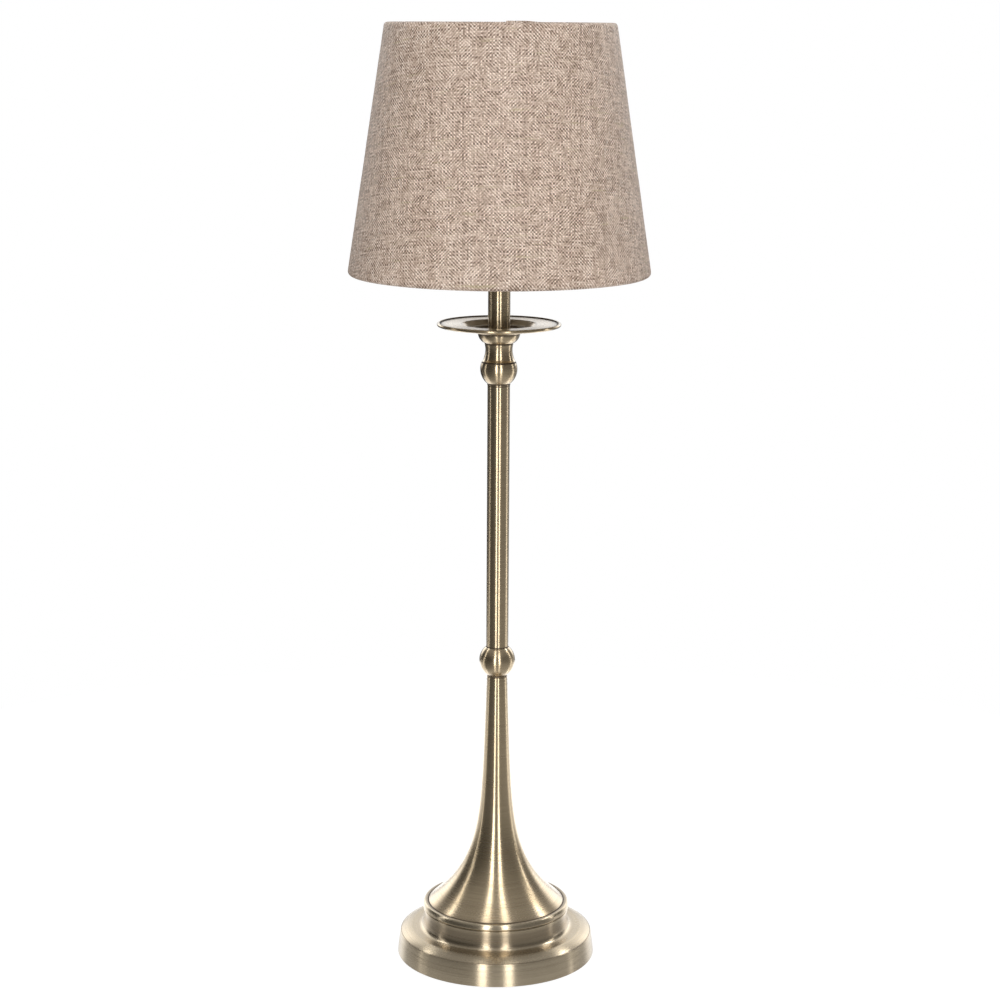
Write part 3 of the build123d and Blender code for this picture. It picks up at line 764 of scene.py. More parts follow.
@dataclass
class Outline:
    """A turned piece's outline as points of radius and height, in millimetres."""

    points: list[Place] = field(default_factory=list)

    def to(self, *places: Place) -> Outline:
        """Straight runs to the places."""
        self.points.extend(places)
        return self

    def arc(self, middle: Place, end: Place, steps: int = 10) -> Outline:
        """An arc from the last point.

        Args:
            middle: a point that the arc passes.
            end: where it ends.
            steps: how many runs it has.

        Returns:
            The outline.
        """
        start = self.points[-1]
        ax, ay = start
        bx, by = middle
        cx, cy = end
        twice = 2 * (ax * (by - cy) + bx * (cy - ay) + cx * (ay - by))
        a2, b2, c2 = ax * ax + ay * ay, bx * bx + by * by, cx * cx + cy * cy
        ux = (a2 * (by - cy) + b2 * (cy - ay) + c2 * (ay - by)) / twice
        uy = (a2 * (cx - bx) + b2 * (ax - cx) + c2 * (bx - ax)) / twice
        first = math.atan2(ay - uy, ax - ux)
        through = (math.atan2(by - uy, bx - ux) - first) % TURN
        last = (math.atan2(cy - uy, cx - ux) - first) % TURN
        sweep = last if through < last else last - TURN
        radius = math.hypot(ax - ux, ay - uy)
        for step in range(1, steps + 1):
            angle = first + sweep * step / steps
            self.points.append((ux + radius * math.cos(angle), uy + radius * math.sin(angle)))
        return self

    def curve(
        self, *through: Place, start: Place | None = None, end: Place | None = None, steps: int = 8
    ) -> Outline:
        """A smooth curve from the last point through more.

        Args:
            through: the points that it passes.
            start: its direction at the first point.
            end: its direction at the last.
            steps: how many runs each stretch has.

        Returns:
            The outline.
        """
        knots = [Vector(self.points[-1]), *map(Vector, through)]
        slopes = [(b - a) for a, b in zip(knots, knots[1:])]
        bends = [slopes[0]] + [(p + q) / 2 for p, q in zip(slopes, slopes[1:])] + [slopes[-1]]
        if start:
            bends[0] = Vector(start).normalized() * slopes[0].length
        if end:
            bends[-1] = Vector(end).normalized() * slopes[-1].length
        for index, (low, high) in enumerate(zip(knots, knots[1:])):
            for step in range(1, steps + 1):
                t = step / steps
                spot = (
                    low * (2 * t**3 - 3 * t**2 + 1)
                    + bends[index] * (t**3 - 2 * t**2 + t)
                    + high * (3 * t**2 - 2 * t**3)
                    + bends[index + 1] * (t**3 - t**2)
                )
                self.points.append((spot.x, spot.y))
        return self

    def bend(self, corner: Place, end: Place, pull: float, steps: int) -> Outline:
        """A hollow curve from the last point, drawn towards a corner.

        Args:
            corner: the corner that it is drawn to.
            end: where it ends.
            pull: how far towards the corner, from 0 to 1.
            steps: how many runs it has.

        Returns:
            The outline.
        """
        low, high, middle = Vector(self.points[-1]), Vector(end), Vector(corner)
        first, second = low.lerp(middle, pull), high.lerp(middle, pull)
        for step in range(1, steps + 1):
            t = step / steps
            near = low * (1 - t) ** 3 + first * 3 * t * (1 - t) ** 2
            spot = near + second * 3 * t**2 * (1 - t) + high * t**3
            self.points.append((spot.x, spot.y))
        return self

    def eased(self, radius: float, sharpest: float = 25.0) -> list[Place]:
        """The closed outline with each sharp corner rounded.

        Args:
            radius: the rounding, in millimetres.
            sharpest: the turn, in degrees, above which a corner is rounded.

        Returns:
            The points.
        """
        spots = [Vector(p) for p in self.points]
        eased: list[Place] = []
        for index, here in enumerate(spots):
            before = spots[index - 1] - here
            after = spots[(index + 1) % len(spots)] - here
            if min(before.length, after.length) < TINY:
                continue
            turn = math.degrees(math.pi - before.angle(after))
            if turn < sharpest or here.x < ON_AXIS:
                eased.append((here.x, here.y))
                continue
            reach = min(radius, EASED_SHARE * before.length, EASED_SHARE * after.length)
            low, high = here + before.normalized() * reach, here + after.normalized() * reach
            for step in range(EASED_STEPS + 1):
                t = step / EASED_STEPS
                spot = low * (1 - t) ** 2 + here * 2 * t * (1 - t) + high * t**2
                eased.append((spot.x, spot.y))
        return eased


def tube(inner: float, outer: float, length: float) -> Outline:
    """The outline of a plain tube, or of a disc where the inner radius is 0."""
    return Outline([(inner, length), (inner, 0), (outer, 0), (outer, length)])


def between(start: Place, end: Place, across: float, up: float) -> Place:
    """A point at a share across and a share up from one place to another."""
    return (start[0] + (end[0] - start[0]) * across, start[1] + (end[1] - start[1]) * up)


@dataclass(frozen=True)
class Seam:
    """A line round a turned piece that darkens it, with real patina at joints and painted shade in the cove,
    the pan's well, the base's shoulder edge and under the pan: its place, its reach and how dark it is.
    """

    place: Place
    core: float = SEAM_CORE
    fade: float = SEAM_FADE
    strength: float = 1.0

    def depth(self, spot: Place) -> float:
        """How dark the seam makes a point, from 0 to 1."""
        away = math.dist(self.place, spot)
        return self.strength * max(0.0, 1 - max(0.0, away - self.core) / self.fade)


@dataclass(frozen=True)
class Thread:
    """A round screw thread on an upright face, in millimetres over the piece's base."""

    pitch: float
    depth: float
    low: float
    high: float
    least_radius: float

    def __call__(self, radius: float, height: float, angle: float) -> float:
        """How far a point is drawn in to make the thread.

        Args:
            radius: the point's radius.
            height: its height.
            angle: its angle round the axis.

        Returns:
            The change of its radius.
        """
        if radius < self.least_radius:
            return 0.0
        fade = min(1.0, (height - self.low) / self.pitch, (self.high - height) / self.pitch)
        wave = 0.5 - 0.5 * math.cos(TURN * height / self.pitch - angle)
        return -self.depth * wave * max(0.0, fade)

    def rows(self, radius: float, count: int) -> list[Place]:
        """Points up the threaded face, close enough together to carry the thread."""
        return [(radius, self.low + (self.high - self.low) * row / count) for row in range(count + 1)]


@dataclass(frozen=True)
class Flutes:
    """Round finger grooves in a ring's edge, in millimetres."""

    count: int
    radius: float
    depth: float
    least_radius: float

    def __call__(self, radius: float, height: float, angle: float) -> float:
        """How far a point is drawn in to make the grooves.

        Args:
            radius: the point's radius.
            height: its height, which is not used.
            angle: its angle round the axis.

        Returns:
            The change of its radius.
        """
        if radius < self.least_radius:
            return 0.0
        period = TURN / self.count
        across = radius * ((angle + period / 2) % period - period / 2)
        inside = max(0.0, self.radius**2 - across**2)
        return -max(0.0, math.sqrt(inside) - self.radius + self.depth)


def mesh_object(
    name: str, points: Iterable[Sequence[float]], faces: Iterable[Sequence[int]]
) -> bpy.types.Object:
    """A smooth-shaded mesh object from points and faces.

    Args:
        name: the piece's name.
        points: its points, in metres.
        faces: its faces.

    Returns:
        The object, in the scene.
    """
    mesh = bpy.data.meshes.new(name)
    mesh.from_pydata([tuple(p) for p in points], [], [tuple(f) for f in faces])
    mesh.shade_smooth()
    made = bpy.data.objects.new(name, mesh)
    bpy.context.scene.collection.objects.link(made)
    return made


def keep(piece: bpy.types.Object, name: str, values: Sequence[float] | Sequence[Sequence[float]]) -> None:
    """Stores one value or vector for each point of a piece.

    Args:
        piece: the piece.
        name: what its material reads them by.
        values: a number or a vector for each point.
    """
    many = hasattr(values[0], "__len__")
    made = piece.data.attributes.new(name, "FLOAT_VECTOR" if many else "FLOAT", "POINT")
    flat = [number for value in values for number in value] if many else list(values)
    made.data.foreach_set("vector" if many else "value", flat)


def with_ends(spots: Sequence[Place], reach: float, longest: float = 4.0) -> list[Place]:
    """Adds a point near both ends of each long run, for what a seam darkens, and steps between them.

    Args:
        spots: the closed outline.
        reach: how far from its ends, in millimetres.
        longest: the longest step between them, in millimetres.

    Returns:
        The outline with the points.
    """
    found: list[Place] = []
    for here, after in zip(spots, [*spots[1:], spots[0]]):
        found.append(here)
        length = math.dist(here, after)
        if length > 4 * reach:
            steps = math.ceil((length - 2 * reach) / longest)
            for step in range(steps + 1):
                share = (reach + (length - 2 * reach) * step / steps) / length
                found.append(between(here, after, share, share))
    return found


def outer_side(spots: Sequence[Place]) -> int:
    """1 where a closed outline runs up its outer side, and otherwise -1."""
    return 1 if sum(a[0] * b[1] - b[0] * a[1] for a, b in zip(spots, [*spots[1:], spots[0]])) > 0 else -1


def profile_normals(spots: Sequence[Place]) -> list[Place]:
    """The outline's normals, each ruled by the longer run beside its point.

    Args:
        spots: the closed outline.

    Returns:
        A unit vector of radius and height for each point.
    """
    side = outer_side(spots)
    normals = []
    for index, here in enumerate(spots):
        before, after = spots[index - 1], spots[(index + 1) % len(spots)]
        across, up = 0.0, 0.0
        for low, high in ((before, here), (here, after)):
            run = (high[0] - low[0], high[1] - low[1])
            length = math.hypot(*run)
            across += side * run[1] * length
            up -= side * run[0] * length
        size = math.hypot(across, up) or 1.0
        normals.append((across / size, up / size))
    return normals


def hollowness(spots: Sequence[Place], seams: Sequence[Seam], share: float) -> list[float]:
    """How hollow the outline is at each point, which its patina and painted shade follow.

    Args:
        spots: the closed outline.
        seams: the lines round the piece that hold dark patina and painted shade.
        share: how much of it its other hollow corners show.

    Returns:
        A number for each point, from -1 on a sharp edge to 1 in a seam or a tight corner.
    """
    side = outer_side(spots)
    found = []
    for index, here in enumerate(spots):
        before, after = spots[index - 1], spots[(index + 1) % len(spots)]
        one = (here[0] - before[0], here[1] - before[1])
        two = (after[0] - here[0], after[1] - here[1])
        length = max((math.hypot(*one) + math.hypot(*two)) / 2, LEAST_RUN)
        turn = math.atan2(one[0] * two[1] - one[1] * two[0], one[0] * two[0] + one[1] * two[1])
        bend = max(-1.0, min(1.0, -side * turn / length / FULL_BEND))
        bend *= share if bend > 0 else 1.0
        found.append(max([bend, *(seam.depth(here) for seam in seams)]))
    return found


def ring_faces(starts: Sequence[int], columns: int) -> list[list[int]]:
    """The faces between each ring of points and the next, and between the last and the first.

    Args:
        starts: where each ring starts among the points, and where the last ends.
        columns: how many points a ring has, unless it is one point on the axis.

    Returns:
        The faces.
    """
    count = len(starts) - 1
    faces = []
    for row in range(count):
        above = (row + 1) % count
        low_width, high_width = starts[row + 1] - starts[row], starts[above + 1] - starts[above]
        if low_width == high_width == 1:
            continue
        for column in range(columns):
            beside = (column + 1) % columns
            corners = (
                starts[row] + column % low_width,
                starts[row] + beside % low_width,
                starts[above] + beside % high_width,
                starts[above] + column % high_width,
            )
            faces.append(list(dict.fromkeys(corners)))
    return faces


def turned(
    name: str,
    outline: Outline,
    base: float,
    easing: float = 0.15,
    columns: int = 160,
    shape: Shape | None = None,
    seams: Sequence[Seam] = (),
    hollows: float = 1.0,
) -> bpy.types.Object:
    """A piece turned about the lamp's axis.

    Args:
        name: the piece's name.
        outline: its closed outline, in millimetres over its base.
        base: the base's height, in metres.
        easing: the rounding of its edges, in millimetres.
        columns: how many steps go round.
        shape: what changes the radius of its points, such as a thread.
        seams: the lines round it that hold dark patina and painted shade.
        hollows: how dark its other hollow corners are.

    Returns:
        The piece, which keeps its place along the outline and how hollow it is there, with its painted shade.
    """
    spots = with_ends(outline.eased(easing), SEAM_CORE + SEAM_FADE)
    rims = profile_normals(spots)
    bends = hollowness(spots, seams, hollows)
    points, normals, along, hollow, starts, total = [], [], [], [], [], 0.0
    for index, (radius, height) in enumerate(spots):
        starts.append(len(points))
        across, up = rims[index]
        for column in range(1 if radius < TINY else columns):
            angle = TURN * column / columns
            reach = (radius + (shape(radius, height, angle) if shape else 0.0)) * MM
            points.append((reach * math.cos(angle), reach * math.sin(angle), base + height * MM))
            normals.append((across * math.cos(angle), across * math.sin(angle), up))
            along.append(total * MM)
            hollow.append(bends[index])
        total += math.dist((radius, height), spots[(index + 1) % len(spots)])
    faces = ring_faces([*starts, len(points)], columns)
    if outer_side(spots) < 0:
        faces = [face[::-1] for face in faces]
    made = mesh_object(name, points, faces)
    keep(made, "along", along)
    keep(made, "hollow", hollow)
    if not shape:
        made.data.normals_split_custom_set_from_vertices(normals)
    return made


def dress(piece: bpy.types.Object, finish: Finish, body: Body, *nodes: str) -> bpy.types.Object:
    """Finishes a new piece and puts it on its body.

    Args:
        piece: the piece.
        finish: its finish.
        body: the body that it moves with.
        nodes: the CAD nodes that it stands for.

    Returns:
        The piece.
    """
    piece.data.materials.clear()
    piece.data.materials.append(finish.material())
    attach(piece, body.value)
    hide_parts(*nodes)
    log.info("%s stands for %s on %s", piece.name, ", ".join(nodes), body.value)
    return piece


def refinish(finish: Finish, *nodes: str, edge: float = 0.0) -> None:
    """Gives CAD nodes a finish in place of their own, and rounds their edges.

    Args:
        finish: the finish.
        nodes: the nodes.
        edge: the rounding, in millimetres.
    """
    for name in nodes:
        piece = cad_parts[name]
        piece.data.materials.clear()
        piece.data.materials.append(finish.material())
        for face in piece.data.polygons:
            face.material_index = 0
        if edge:
            piece.modifiers.new("joined", "WELD").merge_threshold = WELD_REACH * MM
            rounding = piece.modifiers.new("rounded", "BEVEL")
            rounding.width = edge * MM
            rounding.segments = 2
            rounding.angle_limit = math.radians(SHARP_ANGLE)
            rounding.harden_normals = True
        log.info("%s keeps its solid, in %s", name, finish.name)


def foot(node: str) -> float:
    """The height of a node's lowest point."""
    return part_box(node)[0][2]


@dataclass
class Base:
    """The spun base on its foam pad, with the cast weight and the rod's lower end inside."""

    wall: float = 1.2
    rim: float = 69.0
    wall_belly: float = 68.2
    wall_top: float = 67.1
    wall_height: float = 15.5
    wall_edge: float = 0.5
    wall_edge_share: float = 0.3
    shoulder: float = 59.0
    shoulder_rise: float = 3.1
    shoulder_crown: float = 0.35
    cove_top: float = 50.2
    cove_height: float = 12.4
    cove_pull: float = 0.95
    cove_shade_share: float = 0.55
    band: float = 50.8
    band_height: float = 1.3
    groove: float = 50.4
    groove_height: float = 0.35
    bead: float = 51.4
    bead_share: float = 0.35
    ring_height: float = 6.4
    ring_top: float = 49.4
    recess: float = 47.6
    recess_depth: float = 1.5
    bore: float = 5.15
    pad: float = 66.8
    pad_height: float = 2.5
    columns: int = 224

    def shell(self) -> bpy.types.Object:
        """The shell with its shoulder, cove and beaded ring.

        Returns:
            The piece.
        """
        edge, wall, wall_height = self.wall_edge, self.wall, self.wall_height
        shoulder_top = wall_height + self.shoulder_rise
        ring_low = shoulder_top + self.cove_height
        band_top = ring_low + self.band_height
        bead_low = band_top + self.groove_height
        top = ring_low + self.ring_height
        floor = top - self.recess_depth
        inner = self.cove_top - wall
        wall_end = (self.wall_top, wall_height - edge)
        rounded = (self.wall_top - edge * self.wall_edge_share, wall_height - edge * self.wall_edge_share)
        shoulder_start = (self.wall_top - edge, wall_height)
        crown_height = (wall_height + shoulder_top) / 2 + self.shoulder_crown
        crown = ((shoulder_start[0] + self.shoulder) / 2, crown_height)
        bead = (self.bead, bead_low + (top - bead_low) * self.bead_share)
        outline = Outline([(self.bore, floor), (self.bore, floor - wall), (inner, floor - wall)])
        outline.to((inner, shoulder_top), (self.shoulder, shoulder_top - wall))
        outline.to((self.wall_top - wall, wall_height - wall), (self.rim - wall, 0), (self.rim, 0))
        outline.arc((self.wall_belly, wall_end[1] / 2), wall_end, 16)
        outline.arc(rounded, shoulder_start)
        outline.arc(crown, (self.shoulder, shoulder_top), 16)
        outline.bend((self.cove_top, shoulder_top), (self.cove_top, ring_low), self.cove_pull, 40)
        outline.to((self.band, ring_low), (self.band, band_top))
        outline.to((self.groove, band_top), (self.groove, bead_low))
        outline.curve(bead, (self.ring_top, top), start=(1, 1), end=(-1, 0), steps=12)
        outline.to((self.recess, top), (self.recess, floor))
        cove_middle = (self.cove_top, shoulder_top + self.cove_height * self.cove_shade_share)
        seams = (
            Seam((self.recess, top), core=0.1, fade=0.25),
            # Painted shade: a thin dark line along the shoulder's outer edge.
            Seam(shoulder_start, core=0.15, fade=0.35, strength=0.55),
            # Painted shade: a broad dark band in the middle of the cove.
            Seam(cove_middle, core=3.0, fade=4.0, strength=0.3),
        )
        base = foot("base_shell")
        return turned(
            "base_shell_turned", outline, base, easing=0.18, columns=self.columns, seams=seams, hollows=0.35
        )

    def build(self) -> None:
        """Makes the shell and the pad, and finishes what they hide."""
        dress(self.shell(), SPUN_BRASS, Body.STAND, "base_shell")
        pad = turned("base_pad_foam", tube(0, self.pad, self.pad_height), foot("base_pad"), easing=0.5)
        dress(pad, FOAM, Body.STAND, "base_pad")
        refinish(CASTING, "base_weight", edge=0.6)
        refinish(ZINC, "bottom_washer", "bottom_nut", "threaded_rod", edge=0.2)
        refinish(BUSH, "cord_inlet_bush", edge=0.3)


@dataclass
class Stem:
    """The trumpet, the two balls, the column between them and the waisted neck."""

    bore: float = 5.15
    wall: float = 1.2
    lip: float = 7.1
    taper: float = 6.3
    flare: float = 34.0
    power: float = 5.9
    step: float = 1.5
    trumpet: float = 163.1
    trumpet_runs: int = 90
    trumpet_columns: int = 224
    lip_edge: float = 0.35
    lower_ball: float = 12.35
    lower_foot: float = 6.3
    lower_neck: float = 6.9
    lower_neck_height: float = 0.8
    column: float = 7.6
    column_wall: float = 1.0
    column_length: float = 182.4
    upper_ball: float = 12.55
    upper_collar: float = 7.8
    upper_collar_height: float = 1.15
    upper_crown: float = 11.6
    ball_runs: int = 40
    ball_edge: float = 0.12
    neck_height: float = 12.8
    neck_groove: float = 10.9
    neck_groove_height: float = 0.4
    neck_foot: float = 11.4
    neck_waist: float = 9.15
    neck_waist_share: float = 0.63
    neck_shoulder_share: Place = (0.55, 0.19)
    neck_lip: float = 9.6
    neck_lip_height: float = 0.9

    def flare_points(self, inset: float) -> list[Place]:
        """The trumpet's side from its foot up.

        Args:
            inset: how far inside the face, in millimetres.

        Returns:
            The points.
        """
        spots = []
        for index in range(self.trumpet_runs + 1):
            share = 1 - index / self.trumpet_runs
            radius = self.lip + self.taper * share + self.flare * share**self.power - inset
            spots.append((radius, self.step + self.trumpet * (1 - share)))
        return spots

    def trumpet_stem(self) -> bpy.types.Object:
        """The flared stem from the base ring to its lip.

        Returns:
            The piece.
        """
        wide = self.lip + self.taper + self.flare
        inner = self.flare_points(self.wall)[::-1]
        outline = Outline([*inner, (wide - self.wall, 0), (wide, 0), *self.flare_points(0)])
        seams = (Seam((wide, self.step), core=0.1, fade=0.3),)
        base, edge, columns = foot("trumpet_stem"), self.lip_edge, self.trumpet_columns
        return turned("trumpet_stem_turned", outline, base, easing=edge, columns=columns, seams=seams)

    def ball_below(self) -> bpy.types.Object:
        """The ball under the column, on its sunk neck.

        Returns:
            The piece.
        """
        high = math.sqrt(self.lower_ball**2 - self.column**2)
        low = -math.sqrt(self.lower_ball**2 - self.lower_foot**2)
        neck_top = -math.sqrt(self.lower_ball**2 - self.lower_neck**2)
        bottom = low - self.lower_neck_height
        outline = Outline([(self.bore, high), (self.bore, bottom)])
        outline.to((self.lower_neck, bottom), (self.lower_neck, neck_top))
        outline.arc((self.lower_ball, 0), (self.column, high), self.ball_runs)
        neck_seam = Seam((self.lower_neck, (bottom + neck_top) / 2))
        seams = (neck_seam, Seam((self.column, high), core=0.1, fade=0.5))
        base = foot("lower_ball") - bottom * MM
        return turned("lower_ball_turned", outline, base, easing=self.ball_edge, seams=seams)

    def ball_above(self) -> bpy.types.Object:
        """The ball over the column, cut level under the neck.

        Returns:
            The piece.
        """
        high = math.sqrt(self.upper_ball**2 - self.upper_crown**2)
        low = -math.sqrt(self.upper_ball**2 - self.upper_collar**2)
        bottom = low - self.upper_collar_height
        outline = Outline([(self.bore, high), (self.bore, bottom)])
        outline.to((self.upper_collar, bottom), (self.upper_collar, low))
        outline.arc((self.upper_ball, 0), (self.upper_crown, high), self.ball_runs)
        seams = (Seam((self.upper_collar, low)), Seam((self.upper_crown, high)))
        base = foot("upper_ball") - bottom * MM
        return turned("upper_ball_turned", outline, base, easing=self.ball_edge, seams=seams)

    def neck(self) -> bpy.types.Object:
        """The waisted neck between the upper ball and the pan's cup.

        Returns:
            The piece.
        """
        low = (self.neck_foot, self.neck_groove_height)
        lip = (self.neck_lip, self.neck_height - self.neck_lip_height)
        corner = (self.neck_waist, lip[1])
        shoulder = between(low, corner, *self.neck_shoulder_share)
        waist = between(low, corner, 1, self.neck_waist_share)
        outline = Outline([(self.bore, self.neck_height), (self.bore, 0), (self.neck_groove, 0)])
        outline.to((self.neck_groove, self.neck_groove_height), low)
        outline.curve(shoulder, waist, lip, end=(0.25, 1)).to((self.neck_lip, self.neck_height))
        groove_seam = Seam((self.neck_groove, self.neck_groove_height / 2))
        seams = (groove_seam, Seam((self.neck_lip, self.neck_height)))
        return turned("vase_neck_turned", outline, foot("vase_neck"), seams=seams)

    def column_tube(self) -> bpy.types.Object:
        """The plain tube between the balls.

        Returns:
            The piece.
        """
        outline = tube(self.column - self.column_wall, self.column, self.column_length)
        top_seam = Seam((self.column, self.column_length))
        seams = (Seam((self.column, 0), core=0.1, fade=0.5), top_seam)
        return turned("column_tube_turned", outline, foot("column_tube"), easing=0.2, seams=seams)

    def build(self) -> None:
        """Makes the turned pieces from the trumpet up."""
        dress(self.trumpet_stem(), BRASS, Body.STAND, "trumpet_stem")
        dress(self.ball_below(), BRASS, Body.STAND, "lower_ball")
        dress(self.column_tube(), BRASS, Body.STAND, "column_tube")
        dress(self.ball_above(), BRASS, Body.STAND, "upper_ball")
        dress(self.neck(), BRASS, Body.STAND, "vase_neck")
        refinish(ZINC, "trumpet_collar")
        refinish(BUSH, "column_bush_lower", "column_bush_upper")


@dataclass
class PanAndCandle:
    """The pressed drip pan on its cup and the plain candle tube that stands in it."""

    bore: float = 5.15
    cup_height: float = 7.4
    cup: float = 14.3
    cup_foot: float = 9.5
    cup_belly_share: Place = (0.63, 0.3)
    sheet: float = 0.9
    pan: float = 41.8
    pan_columns: int = 224
    bead: float = 1.15
    bead_drop: float = 0.4
    flange: float = 26.0
    flange_rise: float = 4.7
    ring_outer: float = 21.8
    ring_inner: float = 18.9
    ring_rise: float = 1.3
    floor: float = 17.0
    candle: float = 7.5
    candle_wall: float = 0.8
    candle_length: float = 30.0
    washer: float = 9.0
    washer_height: float = 1.2

    def cup_piece(self) -> bpy.types.Object:
        """The round-bellied cup under the pan.

        Returns:
            The piece.
        """
        top = (self.cup, self.cup_height)
        outline = Outline([(self.bore, self.cup_height), (self.bore, 0), (self.cup_foot, 0)])
        outline.arc(between((self.cup_foot, 0), top, *self.cup_belly_share), top, 16)
        # The broad band at the cup's top is patina at its joint with the pan and painted shade under the pan.
        seams = (Seam((self.cup_foot, 0)), Seam(top, core=0.5, fade=1.5))
        return turned("pan_cup_turned", outline, foot("pan_cup"), easing=0.2, seams=seams)

    def pan_piece(self) -> bpy.types.Object:
        """The pan: floor, ring, wall, flange and rolled edge.

        Returns:
            The piece.
        """
        edge = self.pan - self.bead
        top = self.flange_rise + self.sheet
        ring_top = self.ring_rise + self.sheet
        bead_z = top - self.bead_drop
        under = edge - math.sqrt(self.bead**2 - (bead_z - self.flange_rise) ** 2)
        over = edge - math.sqrt(self.bead**2 - self.bead_drop**2)
        outward, inward = (1, 0), (-1, 0)
        outline = Outline([(self.bore, self.sheet), (self.bore, 0), (self.floor, 0)])
        outline.curve((self.ring_inner, self.ring_rise), start=outward, end=outward, steps=10)
        outline.to((self.ring_outer, self.ring_rise))
        outline.curve((self.flange, self.flange_rise), start=outward, end=outward, steps=14)
        outline.to((under, self.flange_rise)).arc((self.pan, bead_z), (over, top), 20)
        outline.to((self.flange, top))
        outline.curve((self.ring_outer, ring_top), start=inward, end=inward, steps=14)
        outline.to((self.ring_inner, ring_top))
        outline.curve((self.floor, self.sheet), start=inward, end=inward, steps=10)
        well = ((self.flange + self.ring_outer) / 2, (self.flange_rise + self.ring_rise) / 2 + self.sheet)
        step = ((self.floor + self.ring_inner) / 2, self.sheet + self.ring_rise / 2)
        seams = (
            Seam((over, top), core=0.6, fade=0.6),
            # Painted dark reflection: a brown band round the well's wall.
            Seam(well, core=2.2, fade=1.0, strength=0.45),
            Seam(step, core=0.7, fade=0.7, strength=0.75),
        )
        base = foot("drip_pan")
        return turned("drip_pan_pressed", outline, base, easing=0.1, columns=self.pan_columns, seams=seams)

    def build(self) -> None:
        """Makes the cup, the pan, the tube and the washer over it."""
        dress(self.cup_piece(), BRASS, Body.STAND, "pan_cup")
        dress(self.pan_piece(), BRASS, Body.STAND, "drip_pan")
        plain = tube(self.candle - self.candle_wall, self.candle, self.candle_length)
        candle = turned("candle_tube_turned", plain, foot("candle_tube"), seams=(Seam((self.candle, 0)),))
        dress(candle, BRASS, Body.STAND, "candle_tube")
        ring = tube(self.bore, self.washer, self.washer_height)
        washer = turned("top_washer_turned", ring, foot("top_washer"), easing=0.2)
        dress(washer, ZINC, Body.STAND, "top_washer")
        refinish(BUSH, "candle_bush_lower", "candle_bush_upper")


@dataclass
class Lampholder:
    """The moulded lampholder: domed cap, threaded sleeve, glazed core and its metal parts."""

    bore: float = 5.15
    cap_foot: float = 9.5
    cap_foot_height: float = 4.0
    cap: float = 21.5
    cap_height: float = 19.0
    cap_shoulder: float = 12.0
    cap_wall: float = 1.4
    cap_columns: int = 432
    dome_share: Place = (0.62, 0.38)
    sleeve: float = 20.0
    sleeve_wall: float = 1.8
    sleeve_length: float = 38.5
    sleeve_columns: int = 144
    mouth: float = 15.4
    lip: float = 2.0
    thread: Thread = Thread(pitch=2.5, depth=0.55, low=6.0, high=37.0, least_radius=19.5)
    thread_rows: int = 160
    core: float = 17.9
    core_bore: float = 13.95
    core_floor: float = 7.0
    core_height: float = 36.5
    knurl: Flutes = Flutes(count=36, radius=0.9, depth=0.35, least_radius=21.4)

    def cap_piece(self) -> bpy.types.Object:
        """The domed cap with its grip ribs.

        Returns:
            The piece.
        """
        low, shoulder = (self.cap_foot, self.cap_foot_height), (self.cap, self.cap_shoulder)
        inner = self.cap - self.cap_wall
        outline = Outline([(self.bore, self.cap_foot_height), (self.bore, 0), (self.cap_foot, 0), low])
        outline.arc(between(low, shoulder, *self.dome_share), shoulder, 20)
        outline.to((self.cap, self.cap_height), (inner, self.cap_height), (inner, self.cap_shoulder))
        outline.to((self.cap_foot, self.cap_foot_height + self.cap_wall))
        base, columns = foot("holder_cap"), self.cap_columns
        return turned("holder_cap_moulded", outline, base, easing=0.3, columns=columns, shape=self.knurl)

    def sleeve_piece(self) -> bpy.types.Object:
        """The sleeve with the thread that the shade rings run on.

        Returns:
            The piece.
        """
        inner = self.sleeve - self.sleeve_wall
        lip_z = self.sleeve_length - self.lip
        outline = Outline([(inner, lip_z), (inner, 0), (self.sleeve, 0)])
        outline.to(*self.thread.rows(self.sleeve, self.thread_rows), (self.sleeve, self.sleeve_length))
        outline.to((self.mouth, self.sleeve_length), (self.mouth, lip_z))
        base, columns = foot("holder_sleeve"), self.sleeve_columns
        return turned("holder_sleeve_moulded", outline, base, easing=0.3, columns=columns, shape=self.thread)

    def core_piece(self) -> bpy.types.Object:
        """The glazed cup that insulates the contacts.

        Returns:
            The piece.
        """
        outline = Outline([(0, self.core_floor), (0, 0), (self.core, 0), (self.core, self.core_height)])
        outline.to((self.core_bore, self.core_height), (self.core_bore, self.core_floor))
        return turned("holder_core_glazed", outline, foot("holder_core"), easing=0.4)

    def build(self) -> None:
        """Makes the cap, the sleeve and the core, and finishes the metal inside."""
        dress(self.cap_piece(), HOLDER, Body.STAND, "holder_cap")
        dress(self.sleeve_piece(), HOLDER, Body.STAND, "holder_sleeve")
        dress(self.core_piece(), GLAZE, Body.STAND, "holder_core")
        refinish(NICKEL, "holder_screw_shell")
        refinish(CONTACT, "holder_contact", "terminal_screws", edge=0.1)


